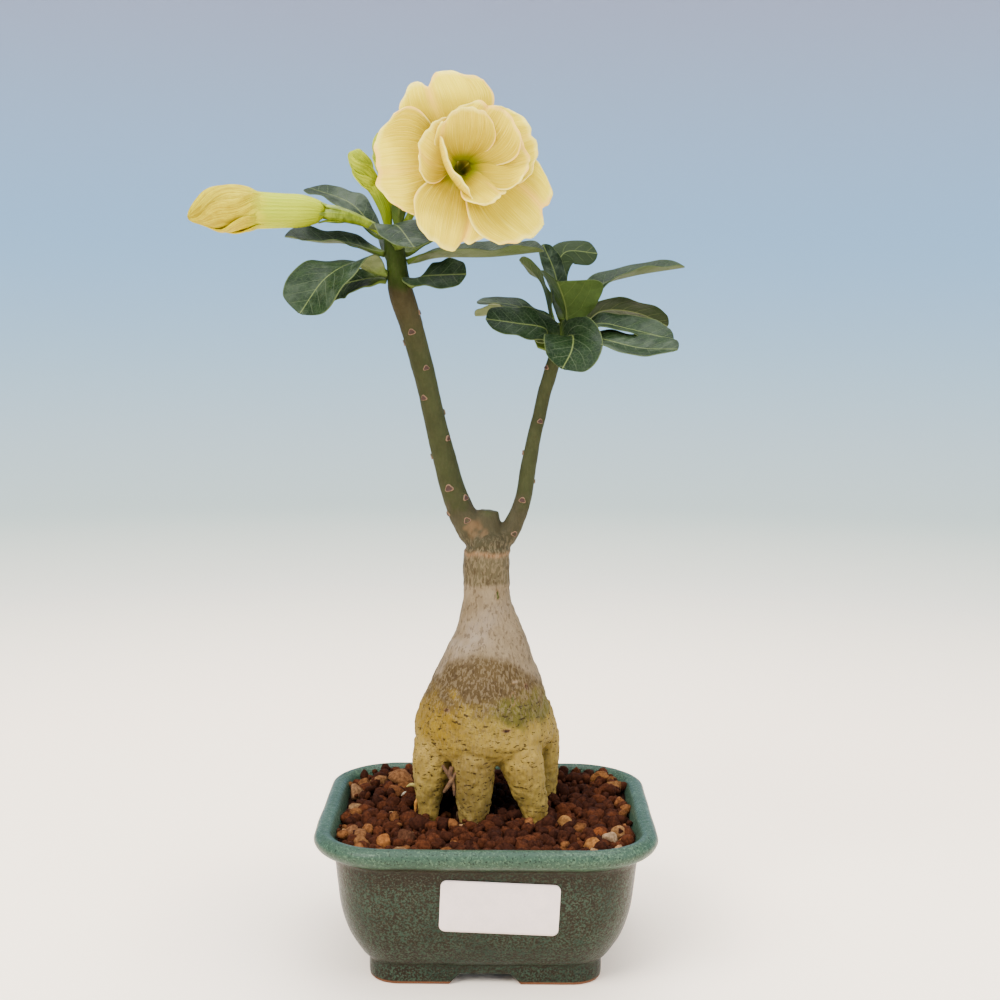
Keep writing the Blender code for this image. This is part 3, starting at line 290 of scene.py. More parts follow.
# Throat: radius and depth, from its bottom over its mouth and back underneath
THROAT = ((0.2, -5.6), (1.3, -5.3), (2.1, -4.6), (2.6, -3.4), (3.1, -1.8), (4.2, -0.6), (5.6, -1.2),
          (5.9, -3.2), (5.6, -7.0), (4.8, -11.0), (3.0, -12.6), (0.2, -12.9))
FLOWER_STALK = (
    (-33.9, 3.8, 283.0, 1.5), (-30.0, 4.0, 290.5, 1.5), (-25.2, 4.2, 297.0, 1.7), (-21.2, 3.3, 301.5, 2.3),
    (-20.6, 3.0, 302.2, 1.2),
)
FLOWER_SEPAL_PATH = ((-22.4, 3.7, 300.2), (-19.9, 2.6, 302.6), (-17.8, -0.6, 304.6), (-16.6, -3.4, 305.5))
FLOWER_SEPAL_REACH = (1.6, 3.4, 4.0, 4.8, 5.8)
SEPALS = 5
SEPAL_THICKNESS = 0.5

# Buds
# Rolled petals of a bud's head: share of a turn where each starts and how far its free edge curls up,
# in millimetres; each goes round by BUD_SHEET_TURN
BUD_SHEET_TURN = 0.36
BUD_SHEETS = ((0.02, 0.3), (0.22, 0.3), (0.47, 0.5), (0.72, 1.5), (0.90, 0.5))
SMALL_BUD_SHEETS = ((0.0, 0.2), (0.2, 0.4), (0.4, 0.3), (0.6, 0.5), (0.8, 0.3))
BUD_TUBE = (
    (-63.6, 0.4, 289.4, 2.3), (-65.8, 0.1, 289.8, 4.3), (-71.8, -0.7, 290.0, 6.1),
    (-79.4, -1.6, 290.0, 6.5), (-88.0, -2.6, 290.1, 7.0), (-94.0, -3.4, 290.3, 7.7),
    (-100.0, -4.2, 290.3, 8.0), (-105.0, -5.0, 289.8, 7.3), (-109.5, -5.8, 288.6, 5.2),
    (-112.8, -6.6, 287.2, 2.8), (-114.2, -7.0, 286.6, 0.7),
)
BUD_STALK = (
    (-41.2, 2.8, 282.2, 1.7), (-47.0, 2.2, 285.4, 1.7), (-54.0, 1.0, 287.9, 2.5), (-60.0, 0.7, 289.0, 3.0),
    (-63.8, 0.5, 289.3, 2.2),
)
BUD_SEPAL_PATH = ((-55.6, 0.9, 288.2), (-59.2, 0.7, 288.8), (-62.4, 0.5, 289.2), (-65.2, 0.3, 289.6))
BUD_SEPAL_REACH = (2.4, 3.0, 3.2, 3.2, 4.2)
SMALL_BUDS = {
    "small_bud_front": (
        (-39.0, 0.8, 283.6, 1.5), (-40.2, -0.9, 290.5, 2.3), (-43.2, -2.4, 297.5, 2.8),
        (-46.0, -3.7, 301.2, 2.9), (-48.1, -4.5, 304.8, 3.3), (-50.0, -5.3, 308.6, 3.2),
        (-51.2, -5.7, 311.2, 2.7), (-51.6, -5.8, 312.2, 1.6),
    ),
    "small_bud_back": (
        (-39.8, 5.2, 283.8, 1.4), (-39.9, 7.0, 291.0, 1.7), (-40.2, 9.6, 302.0, 2.5),
        (-42.2, 12.4, 313.0, 3.2), (-43.0, 13.6, 318.0, 2.6), (-43.5, 14.2, 320.6, 1.1),
        (-43.6, 14.2, 321.0, 0.4),
    ),
}
ROOTLETS = (
    ((-17.5, -8.3, 76.0, 0.7), (-14.6, -9.6, 72.0, 0.8), (-12.6, -10.9, 67.5, 0.6)),
    ((-16.8, -9.4, 65.5, 0.6), (-14.4, -10.8, 69.5, 0.9), (-11.9, -10.6, 74.0, 0.6)),
    ((-13.8, -10.9, 76, 0.9), (-14.2, -10.6, 72.8, 0.9), (-13, -10.6, 69, 0.7), (-12.6, -10.6, 64.5, 0.5)),
)

DRY_ROOT_TINTS = ((0.13, 0.06, 0.018), (0.045, 0.018, 0.006))

# Label on the front wall
LABEL_CENTRE = (5.3, 34.6)
LABEL_TILT_DEG = -2.3
LABEL_OFFSET = 0.35
LABEL_THICKNESS = 0.45
LABEL_CORNER = 2.4
LABEL_SHADE = 0.93

# Stage, in metres: the sweep, then each light's name, place, target, size, power and colour
SWEEP_FLAT = 1.5
SWEEP_BEND = 0.9
SWEEP_HEIGHT = 2.6
FLOOR_GLOW = (1.0, 0.72, 0.42)
LIGHTS = (
    ("key_softbox", (-0.75, -0.95, 1.15), (0, 0, 0.2), 0.9, 52.0, (1.0, 0.97, 0.93)),
    ("fill_softbox", (1.1, -0.8, 0.7), (0, 0, 0.2), 1.1, 22.0, (0.97, 0.98, 1.0)),
    ("top_softbox", (0.1, 0.15, 1.5), (0, 0, 0.1), 1.2, 34.0, (1.0, 1.0, 1.0)),
)
WORLD_COLOUR = (0.92, 0.95, 1.0)
WORLD_STRENGTH = 1.7
CAMERA_ASIDE = 0.0043


def unit(vectors):
    """Vectors scaled to length one."""
    vectors = np.asarray(vectors, float)
    return vectors / np.linalg.norm(vectors, axis=-1, keepdims=True)


def place(points):
    """Design millimetres to world metres."""
    return (np.asarray(points, float) + ORIGIN) * MM


def rise(value, low, high):
    """0 below low, 1 above high, and a smooth step 3t2 - 2t3 between them."""
    t = np.clip((value - low) / (high - low), 0, 1)
    return t * t * (3 - 2 * t)


def fall(value, low, high):
    """1 below low and 0 above high, by the same smooth step."""
    return rise(-value, -high, -low)


def bell(value, middle, width):
    """1 at the middle, falling off as exp(-((value - middle) / width)^2)."""
    return np.exp(-((value - middle) / width) ** 2)


def stacked(*parts):
    """Grids that fit one another as the coordinates of one grid of points."""
    return np.stack(np.broadcast_arrays(*parts), axis=-1)


def smooth_path(stations, places):
    """A Catmull-Rom curve through the stations, read at even steps or at the given shares of its length."""
    stations = np.asarray(stations, float)
    ends = np.vstack([2 * stations[0] - stations[1], stations, 2 * stations[-1] - stations[-2]])
    t = np.linspace(0, 1, 16, endpoint=False)[:, None]
    pieces = []
    for a, b, c, d in zip(ends, ends[1:], ends[2:], ends[3:]):
        square = (2 * a - 5 * b + 4 * c - d) * t**2
        cube = (3 * b - a - 3 * c + d) * t**3
        pieces.append(0.5 * (2 * b + (c - a) * t + square + cube))
    curve = np.vstack(pieces + [stations[-1:]])
    along = np.r_[0, np.cumsum(np.linalg.norm(np.diff(curve[:, :3], axis=0), axis=1))]
    wanted = np.linspace(0, 1, places) if np.isscalar(places) else np.asarray(places)
    return np.column_stack([np.interp(wanted * along[-1], along, column) for column in curve.T])


def path_sides(centre, reference):
    """Unit vectors to the side and to the top of a path, square to it."""
    along = unit(np.gradient(centre, axis=0))
    side = unit(np.cross(along, reference))
    return side, np.cross(side, along)


def turned(side, top, angle):
    """Directions square to a path: side cos(angle) + top sin(angle)."""
    return side[:, None] * np.cos(angle)[..., None] + top[:, None] * np.sin(angle)[..., None]


def waves(points, wavelength, seed, count=14):
    """Smooth noise of about -1 to 1: a sum of sine waves near one wavelength in random directions."""
    random = np.random.default_rng(seed)
    pitch = TURN / wavelength * random.uniform(0.7, 1.4, (count, 1))
    direction = unit(random.normal(size=(count, 3))) * pitch
    return np.sin(points @ direction.T + random.uniform(0, TURN, count)).sum(-1) / math.sqrt(count)


def quads(index, closed_rows=False, closed_columns=False):
    """Four-sided faces between neighbours of a grid of point numbers."""
    if closed_rows:
        index = np.vstack([index, index[:1]])
    if closed_columns:
        index = np.hstack([index, index[:, :1]])
    corners = [index[:-1, :-1], index[:-1, 1:], index[1:, 1:], index[1:, :-1]]
    return np.stack(corners, axis=-1).reshape(-1, 4)


def capped(rings, **values):
    """A solid through rings of points, with both ends closed; grids of values become point attributes."""
    index = np.arange(rings[..., 0].size).reshape(rings.shape[:2])
    faces = [quads(index, closed_columns=True), index[:1, ::-1], index[-1:]]
    spread = {name: grid.reshape(index.size, -1) for name, grid in values.items()}
    return {"points": rings.reshape(-1, 3), "faces": faces, "values": spread}


def shell(middle, above, below, **values):
    """A closed blade round a grid: its two faces lie at +above and -below along the grid's normal.

    The normal is the cross product of the steps along the columns and along the rows. The values are
    grids that become point attributes, alike on both faces; "under" is 0 above and 1 below.
    """
    rows, columns = middle.shape[:2]
    normal = unit(np.cross(np.gradient(middle, axis=1), np.gradient(middle, axis=0)))
    index = np.arange(rows * columns).reshape(rows, columns)
    rim = np.concatenate([index[0, :-1], index[:-1, -1], index[-1, :0:-1], index[:0:-1, 0]])
    after = np.roll(rim, -1)
    lower = index.size
    side = np.stack([after, rim, rim + lower, after + lower], axis=1)
    faces = np.vstack([quads(index), quads(index)[:, ::-1] + lower, side])
    upper_face = middle + normal * np.broadcast_to(above, (rows, columns))[..., None]
    lower_face = middle - normal * np.broadcast_to(below, (rows, columns))[..., None]
    points = np.vstack([upper_face.reshape(-1, 3), lower_face.reshape(-1, 3)])
    spread = {name: np.tile(grid.reshape(rows * columns, -1), (2, 1)) for name, grid in values.items()}
    spread["under"] = np.repeat([[0.0], [1.0]], rows * columns, axis=0)
    return {"points": points, "faces": [faces], "values": spread}


def tube(stations, count, sides, reference=(0, 1, 0), swell=None):
    """A closed solid carried along a smooth path: centre + radius * swell(s, angle) around it.

    Point attributes: "along" and "around", both running from 0 to 1.
    """
    path = smooth_path(stations, count)
    side, top = path_sides(path[:, :3], reference)
    s = np.linspace(0, 1, count)[:, None]
    angle = np.arange(sides)[None, :] * TURN / sides
    reach = path[:, 3:] * (np.ones_like(s + angle) if swell is None else swell(s, angle))
    rings = path[:, None, :3] + reach[..., None] * turned(side, top, angle)
    return capped(rings, along=s + 0 * angle, around=angle / TURN + 0 * s)


def join(pieces):
    """Several pieces as one."""
    offsets = np.cumsum([0] + [len(piece["points"]) for piece in pieces[:-1]])
    faces = [part + offset for piece, offset in zip(pieces, offsets) for part in piece["faces"]]
    names = pieces[0]["values"].keys()
    values = {name: np.vstack([piece["values"][name] for piece in pieces]) for name in names}
    return {"points": np.vstack([piece["points"] for piece in pieces]), "faces": faces, "values": values}


def flipped_outwards(points, faces):
    """The faces turned round where the solid that they close would have a negative volume."""
    volume = 0.0
    for part in faces:
        corner = points[part]
        for i in range(1, part.shape[1] - 1):
            volume += np.einsum("ij,ij->", corner[:, 0], np.cross(corner[:, i], corner[:, i + 1]))
    return faces if volume > 0 else [part[:, ::-1] for part in faces]


def make_object(name, shape, material):
    """A smooth mesh object at the world's origin from a shape in design millimetres."""
    faces = flipped_outwards(shape["points"], shape["faces"])
    corners = np.concatenate([part.ravel() for part in faces])
    sizes = np.concatenate([np.full(len(part), part.shape[1]) for part in faces])
    mesh = bpy.data.meshes.new(name)
    mesh.vertices.add(len(shape["points"]))
    mesh.vertices.foreach_set("co", place(shape["points"]).ravel())
    mesh.loops.add(len(corners))
    mesh.loops.foreach_set("vertex_index", corners)
    mesh.polygons.add(len(sizes))
    mesh.polygons.foreach_set("loop_start", np.r_[0, np.cumsum(sizes)[:-1]])
    mesh.update(calc_edges=True)
    mesh.polygons.foreach_set("use_smooth", np.ones(len(sizes), bool))
    for label, values in shape["values"].items():
        add_attribute(mesh, label, values)
    mesh.materials.append(material)
    obj = bpy.data.objects.new(name, mesh)
    bpy.context.scene.collection.objects.link(obj)
    return obj


def add_attribute(mesh, label, values):
    """A point attribute: one number or three to a point."""
    values = np.asarray(values, float).reshape(len(mesh.vertices), -1)
    kind, field = ("FLOAT", "value") if values.shape[1] == 1 else ("FLOAT_VECTOR", "vector")
    mesh.attributes.new(label, kind, "POINT").data.foreach_set(field, values.ravel())


def finish_piece(obj, slot, *nodes):
    """The piece rides on the body and hides the nodes that it stands for; the slot is not used."""
    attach(obj, BODY)
    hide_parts(*nodes)


def add_piece(name, shape, material, slot, *nodes):
    """A finished piece straight from its shape."""
    finish_piece(make_object(name, shape, material), slot, *nodes)


def apply_modifier(obj, name, kind, **settings):
    """The object's mesh replaced by what one modifier makes of it."""
    modifier = obj.modifiers.new(name, kind)
    for setting, value in settings.items():
        setattr(modifier, setting, value)
    graph = bpy.context.evaluated_depsgraph_get()
    mesh = bpy.data.meshes.new_from_object(obj.evaluated_get(graph))
    obj.modifiers.clear()
    obj.data = mesh


def tone(colour):
    """A colour as it is, or by its name in the settings."""
    return getattr(bpy.context.scene.rose_colours, colour) if isinstance(colour, str) else colour


def connect(tree, socket, value):
    """A socket linked to another socket, or set to a value or a named colour."""
    if isinstance(value, bpy.types.NodeSocket):
        tree.links.new(value, socket)
    elif socket.type == "RGBA":
        socket.default_value = (*tuple(tone(value))[:3], 1.0)
    else:
        socket.default_value = value


class Nodes:
    """A shader tree with a short call for each kind of node that the finishes use."""

    def __init__(self, tree):
        self.tree = tree

    def node(self, kind, inputs=(), **settings):
        """The outputs of a new node with its settings, and its inputs given by name or number."""
        made = self.tree.nodes.new(kind)
        for name, value in settings.items():
            setattr(made, name, value)
        for key, value in dict(inputs).items():
            connect(self.tree, made.inputs[key], value)
        return made.outputs

    def maths(self, operation, *values):
        """The result of a Math node."""
        return self.node("ShaderNodeMath", enumerate(values), operation=operation)[0]

    def plus(self, first, second):
        """A sum."""
        return self.maths("ADD", first, second)

    def times(self, first, second):
        """A product."""
        return self.maths("MULTIPLY", first, second)

    def line(self, value, slope, start):
        """The straight line slope * value + start."""
        return self.maths("MULTIPLY_ADD", value, slope, start)

    def step(self, value, low, high):
        """A mask that climbs smoothly from 0 at low to 1 at high."""
        inputs = {"Value": value, "From Min": low, "From Max": high}
        return self.node("ShaderNodeMapRange", inputs, interpolation_type="SMOOTHSTEP")[0]

    def mix(self, share, first, second, blend="MIX"):
        """A colour mixed from two."""
        inputs = {0: share, 6: first, 7: second}
        return self.node("ShaderNodeMix", inputs, data_type="RGBA", blend_type=blend)[2]

    def over(self, colour, other, mask, strength):
        """A colour with another laid over it where the mask is, at a strength."""
        return self.mix(self.times(mask, strength), colour, other)

    def noise(self, vector, scale, detail=2.0, roughness=0.5, distortion=0.0):
        """A noise pattern of about 0.3 to 0.7."""
        inputs = {"Vector": vector, "Scale": scale, "Detail": detail, "Roughness": roughness}
        return self.node("ShaderNodeTexNoise", {**inputs, "Distortion": distortion})[0]

    def stretched(self, vector, scale):
        """A vector scaled by a Mapping node."""
        return self.node("ShaderNodeMapping", {"Vector": vector, "Scale": scale})[0]

    def place(self):
        """The place on the object in metres."""
        return self.node("ShaderNodeTexCoord")["Object"]

    def parts(self, vector):
        """The three parts of a vector."""
        return self.node("ShaderNodeSeparateXYZ", {0: vector})

    def attribute(self, name, output="Fac"):
        """A point attribute of the piece."""
        return self.node("ShaderNodeAttribute", attribute_name=name)[output]

    def group(self, name, inputs):
        """The output of a shared node group with this material's own values."""
        return self.node("ShaderNodeGroup", inputs, node_tree=bpy.data.node_groups[name])[0]

    def specks(self, vector, scale, threshold, softness):
        """A mask of soft-edged spots."""
        inputs = {"Vector": vector, "Scale": scale, "Threshold": threshold, "Softness": softness}
        return self.group("Specks", inputs)

    def grain(self, vector, scale, fine_share=0.4):
        """A grain value around 0.5."""
        return self.group("Grain", {"Vector": vector, "Scale": scale, "Fine share": fine_share})


class Finish(Nodes):
    """A new material: constants on its Principled shader, and nodes that feed the sockets that vary."""

    def __init__(self, name, **constants):
        self.material = bpy.data.materials.new(name)
        self.material.use_nodes = True
        super().__init__(self.material.node_tree)
        self.shader = self.tree.nodes["Principled BSDF"]
        for socket, value in constants.items():
            self.feed(socket.replace("_", " "), value)

    def feed(self, socket, value):
        """A socket of the shader linked or set."""
        connect(self.tree, self.shader.inputs[socket], value)

    def bump(self, height, distance, strength):
        """A Bump node on the shader's normal; the distance is in metres."""
        inputs = {"Height": height, "Distance": distance, "Strength": strength}
        self.feed("Normal", self.node("ShaderNodeBump", inputs)[0])


def new_group(name, numbers, output):
    """A node group that takes a vector and some numbers and gives one number."""
    tree = bpy.data.node_groups.new(name, "ShaderNodeTree")
    tree.interface.new_socket("Vector", in_out="INPUT", socket_type="NodeSocketVector")
    for label in numbers:
        tree.interface.new_socket(label, in_out="INPUT", socket_type="NodeSocketFloat")
    tree.interface.new_socket(output, in_out="OUTPUT", socket_type="NodeSocketFloat")
    return Nodes(tree), tree.nodes.new("NodeGroupInput").outputs, tree.nodes.new("NodeGroupOutput").inputs[0]


def make_speck_group():
    """Specks: noise cut at a threshold into soft-edged spots, as a mask from 0 to 1."""
    nodes, given, result = new_group("Specks", ("Scale", "Threshold", "Softness"), "Mask")
    pattern = nodes.noise(given["Vector"], given["Scale"], 3.0, 0.55, 0.4)
    top = nodes.plus(given["Threshold"], given["Softness"])
    connect(nodes.tree, result, nodes.step(pattern, given["Threshold"], top))


def make_grain_group():
    """Grain: a coarse and a fine noise mixed, for bump and colour variation, around 0.5."""
    nodes, given, result = new_group("Grain", ("Scale", "Fine share"), "Value")
    coarse = nodes.noise(given["Vector"], given["Scale"])
    fine = nodes.noise(given["Vector"], nodes.times(given["Scale"], 5.3), 2.0, 0.6)
    inputs = {0: given["Fine share"], 2: coarse, 3: fine}
    connect(nodes.tree, result, nodes.node("ShaderNodeMix", inputs, data_type="FLOAT")[0])


def glaze_material():
    """Speckled green glaze: teal islands on a grey-brown body, paler on the lip, bare clay at the foot, and
    painted shade under the lip where the teal islands thin out.
    """
    look = Finish("speckled_glaze", Specular_IOR_Level=0.12)
    where = look.place()
    height = look.parts(where)[2]
    cloud = look.noise(where, 45.0, 3.0, 0.55)
    # Painted shade under the lip: from 39 mm up the teal islands thin out, so the wall just under the lip
    # turns darker grey-brown
    lip_shade_band = look.times(look.step(height, 0.039, 0.047), 0.07)
    islands = look.specks(where, 1150.0, look.plus(look.line(cloud, -0.22, 0.57), lip_shade_band), 0.1)
    fine = look.specks(look.stretched(where, (0.5, 0.5, 1.1)), 2300.0, 0.54, 0.08)
    dark = look.specks(where, 1400.0, 0.57, 0.07)
    green = look.mix(look.step(cloud, 0.35, 0.65), "glaze_green", "glaze_deep")
    body = look.over(look.mix(islands, "glaze_brown", green), "glaze_grey", fine, 0.5)
    lip = look.step(look.plus(height, look.line(cloud, 0.004, -0.002)), 0.0495, 0.052)
    colour = look.mix(lip, body, look.mix(islands, "glaze_lip_deep", "glaze_lip"))
    foot = look.step(height, 0.0016, 0.0008)
    look.feed("Base Color", look.mix(foot, look.over(colour, "glaze_speck", dark, 0.8), "bare_clay"))
    look.feed("Roughness", look.plus(look.line(islands, -0.08, 0.36), look.times(foot, 0.45)))
    look.bump(look.grain(where, 300.0, 0.35), 0.0007, 0.5)
    return look.material


def soil_material(name, darker):
    """Dry fired clay: each granule its own red-brown to tan, crumbly, paler where its grain stands high and
    darker where it dips.
    """
    look = Finish(name, Roughness=0.92, Specular_IOR_Level=0.06)
    grain = look.grain(look.place(), 800.0)
    relief_tone = look.mix(look.step(grain, 0.42, 0.6), (0.6, 0.56, 0.54), (1.2, 1.17, 1.14))
    colour = look.mix(1.0, look.attribute("tint", "Color"), relief_tone, "MULTIPLY")
    # darker mixes the colour toward SOIL_SHADE: painted shade, used for the bed in the gaps between granules
    look.feed("Base Color", look.mix(darker, colour, SOIL_SHADE))
    look.bump(grain, 0.0009, 0.8)
    return look.material


def skin_material():
    """Bark skin: the painted zones of the body broken up by short upright flecks, warts and dark pores."""
    look = Finish("caudex_skin", Roughness=0.62, Specular_IOR_Level=0.08)
    where = look.place()
    zone = look.attribute("skin", "Color")
    flecked, porous = look.attribute("flecked"), look.attribute("porous")
    upright = look.stretched(where, (1.0, 1.0, 0.36))
    level = look.stretched(where, (0.55, 0.55, 1.5))
    flecks = look.times(look.specks(upright, 1150.0, 0.49, 0.1), flecked)
    cracks = look.times(look.specks(upright, 900.0, 0.53, 0.08), flecked)
    pores = look.times(look.specks(level, 720.0, 0.605, 0.03), porous)
    soiled = look.times(look.specks(level, 1500.0, 0.53, 0.1), look.step(look.noise(where, 60.0), 0.42, 0.6))
    shaded = look.mix(1.0, zone, (0.8, 0.78, 0.74), "MULTIPLY")
    colour = look.mix(look.step(look.noise(where, 110.0, 3.0, 0.55), 0.35, 0.65), zone, shaded)
    colour = look.over(colour, "bark_crack", cracks, 0.5)
    colour = look.over(colour, "bark_fleck", flecks, 0.34)
    colour = look.over(colour, "bark_brown", soiled, look.times(porous, 0.5))
    look.feed("Base Color", look.over(colour, "bark_pore", pores, 0.85))
    height = look.maths("SUBTRACT", look.grain(upright, 520.0), look.times(pores, 0.5))
    look.bump(height, 0.0009, 0.55)
    return look.material


def scar_material():
    """Leaf scars: a dry red-brown middle inside a pale corky rim."""
    look = Finish("leaf_scar_cork", Roughness=0.8)
    grain = look.grain(look.place(), 900.0)
    shifted = look.plus(look.attribute("across"), look.line(grain, 0.3, -0.15))
    colour = look.mix(look.step(shifted, 0.66, 0.78), "scar_middle", "scar_rim")
    look.feed("Base Color", look.mix(look.step(shifted, 0.86, 1.0), colour, "branch_green"))
    look.bump(grain, 0.0008, 0.6)
    return look.material


def leaf_material(name, top):
    """Leathery leaf: dark top with a pale midrib and fine side veins, paler underside.

    "blade" holds the distance along the leaf and across it in centimetres and the share of the half
    width, and "tone" the grey bloom, which also stands for painted sheen, and the painted shade of the
    underside. Side veins lie where the distance along, less a share of the distance across, is a whole
    number of vein spacings.
    """
    look = Finish(name, Specular_IOR_Level=0.07)
    where = look.place()
    distance, across, share = look.parts(look.attribute("blade", "Vector"))
    bloom, shade, _ = look.parts(look.attribute("tone", "Vector"))
    under = look.attribute("under")
    across = look.maths("ABSOLUTE", across)
    lean = look.plus(look.times(across, 0.62), look.times(look.times(across, across), 0.35))
    cell = look.line(look.noise(where, 160.0), 0.16, look.maths("SUBTRACT", distance, lean))
    cell = look.maths("FRACT", look.maths("DIVIDE", cell, VEIN_SPACING / 10))
    off = look.maths("ABSOLUTE", look.maths("SUBTRACT", cell, 0.5))
    vein = look.times(look.step(off, 0.442, 0.494), look.step(share, 0.95, 0.5))
    slim = look.maths("MAXIMUM", look.line(distance, -0.009, 0.062), 0.026)
    midrib = look.step(across, slim, 0.01)
    cells = look.node("ShaderNodeTexVoronoi", {"Vector": where, "Scale": 620.0}, feature="DISTANCE_TO_EDGE")
    net = look.step(cells["Distance"], 0.09, 0.02)
    blotch = look.noise(where, 210.0, 4.0, 0.6)
    face = look.mix(look.step(blotch, 0.35, 0.68), top, "leaf_top_light")
    face = look.over(face, "leaf_vein", net, 0.16)
    # Grey bloom by each leaf's bloom value, which also stands for painted sheen on the glossier leaves
    face = look.over(face, "leaf_bloom_and_sheen", look.step(look.noise(where, 95.0, 3.0, 0.6), 0.46, 0.66), bloom)
    face = look.over(face, "leaf_vein", vein, 0.42)
    face = look.over(face, "leaf_midrib", midrib, 0.8)
    face = look.over(face, "leaf_midrib", look.step(share, 0.955, 0.99), 0.5)
    # Underside from pale to deep by each leaf's shade value: painted shade, darker where an underside lies
    # out of the light
    back = look.mix(look.step(shade, 0.0, 0.5), "leaf_under_pale", "leaf_under")
    back = look.mix(look.step(shade, 0.5, 1.0), back, "leaf_under_deep")
    back = look.over(back, "leaf_under_deep", look.step(blotch, 0.35, 0.7), 0.35)
    back = look.over(back, "leaf_midrib", vein, 0.25)
    back = look.over(back, "leaf_midrib", midrib, 0.7)
    colour = look.mix(under, face, back)
    look.feed("Base Color", look.over(colour, "leaf_stalk", look.step(distance, 0.9, 0.3), 0.75))
    look.feed("Roughness", look.line(blotch, 0.18, look.line(under, 0.12, 0.36)))
    height = look.line(vein, -0.5, look.times(net, -0.15))
    look.bump(look.plus(height, blotch), 0.0005, 0.5)
    return look.material


def petal_material(name, root, middle, edge):
    """Petal: golden at the root, cream at the edge, with fine lengthwise veins and a pink blush."""
    look = Finish(name, Roughness=0.55, Specular_IOR_Level=0.0, Subsurface_Weight=0.12, **PETAL_SCATTER)
    where = look.place()
    blade = look.attribute("petal", "Vector")
    reach, across, _ = look.parts(blade)
    veins = look.noise(look.stretched(blade, (0.7, 24.0, 7.0)), 2.6, 3.0, 0.6)
    zone = look.plus(reach, look.line(veins, 0.36, -0.18))
    zone = look.plus(zone, look.line(look.noise(where, 46.0), 0.9, -0.45))
    colour = look.mix(look.step(zone, 0.12, 0.5), root, middle)
    colour = look.mix(look.step(zone, 0.5, 0.98), colour, edge)
    colour = look.over(colour, "petal_pale", look.step(veins, 0.48, 0.66), 0.13)
    colour = look.over(colour, "petal_root", look.step(veins, 0.47, 0.36), 0.2)
    side = look.step(look.maths("ABSOLUTE", across), 0.94, 1.0)
    rim = look.maths("MAXIMUM", look.step(reach, 0.9, 1.0), side)
    colour = look.over(colour, "petal_pale", rim, 0.6)
    blush = look.times(rim, look.step(look.noise(where, 85.0), 0.46, 0.6))
    colour = look.over(colour, "petal_blush", blush, 0.7)
    colour = look.over(colour, "petal_blush", look.attribute("crease"), 0.6)
    look.feed("Base Color", look.over(colour, "throat_green", look.step(reach, 0.26, 0.02), 0.85))
    look.bump(veins, 0.0008, 0.5)
    return look.material


def bud_material(name, ribs, tube_deep, tube_pale, head, light, furrow):
    """Bud: a finely ribbed tube that turns into a head of another colour with painted shade in its folds."""
    look = Finish(name, Roughness=0.5, Specular_IOR_Level=0.06, Subsurface_Weight=0.08, **PETAL_SCATTER)
    along, around = look.attribute("along"), look.attribute("around")
    grain = look.grain(look.place(), 240.0)
    stripe = look.maths("SINE", look.line(grain, 5.0, look.times(around, TURN * ribs)))
    tube_colour = look.mix(look.line(stripe, 0.2, 0.5), tube_deep, tube_pale)
    strands = look.node("ShaderNodeCombineXYZ", {0: look.times(along, 5.0), 1: look.times(around, 26.0)})
    lines = look.noise(strands[0], 1.0)
    mottle = look.step(look.plus(look.times(lines, 0.6), look.times(grain, 0.4)), 0.4, 0.62)
    shifted = look.plus(along, look.line(grain, 0.2, -0.1))
    colour = look.mix(look.step(shifted, 0.36, 0.6), tube_colour, look.mix(mottle, head, light))
    # Painted shade: the furrow colour goes where fold marks a tucked-in edge or the core between rolled
    # petals
    look.feed("Base Color", look.over(colour, furrow, look.attribute("fold"), 0.55))
    look.bump(look.plus(lines, look.times(stripe, 0.12)), 0.0008, 0.5)
    return look.material


def mottled_material(name, first, second, roughness, specular, scale, fine_share, stretch, relief):
    """A skin mottled between two colours by a grain, which may be drawn out along the height."""
    look = Finish(name, Roughness=roughness, Specular_IOR_Level=specular)
    grain = look.grain(look.stretched(look.place(), (1.0, 1.0, stretch)), scale, fine_share)
    look.feed("Base Color", look.mix(look.step(grain, 0.38, 0.62), first, second))
    look.bump(grain, 0.0004, relief)
    return look.material


def stalk_material(name, light, deep):
    """Fresh green stalk skin with faint lengthwise streaks."""
    return mottled_material(name, deep, light, 0.45, 0.25, 420.0, 0.35, 0.4, 0.5)


def dry_material(name, first, second, roughness, scale):
    """A dry surface mottled between two colours."""
    return mottled_material(name, first, second, roughness, 0.5, scale, 0.4, 1.0, 0.3)


def rounded_ring(half_width, half_length, radius, corner_steps, side_places):
    """Points round a rounded rectangle, one row for each size given.

    Every side has the same columns: places in millimetres near its middle, where the foot gaps are,
    and shares of what is left up to the corner arcs.
    """
    sizes = (half_width, half_length, radius)
    half_width, half_length, radius = (np.asarray(size, float)[:, None] for size in sizes)
    angle = np.linspace(0, math.pi / 2, corner_steps + 1)[None, :]
    corner_x = half_width - radius + radius * np.cos(angle)
    corner_y = half_length - radius + radius * np.sin(angle)

    def side(straight):
        outer = GAP_HALF_WIDTH + (straight - GAP_HALF_WIDTH) * (np.abs(side_places) - 1)
        inner = GAP_HALF_WIDTH * np.abs(side_places)
        return np.sign(side_places) * np.where(np.abs(side_places) > 1, outer, inner)

    top, left = side(half_width - radius), side(half_length - radius)
    whole = np.ones_like(top)
    half_round = [
        (corner_x, corner_y), (-top, half_length * whole),
        (-corner_x[:, ::-1], corner_y[:, ::-1]), (-half_width * whole, -left),
    ]
    columns = half_round + [(-x, -y) for x, y in half_round]
    return np.hstack([x for x, _ in columns]), np.hstack([y for _, y in columns])


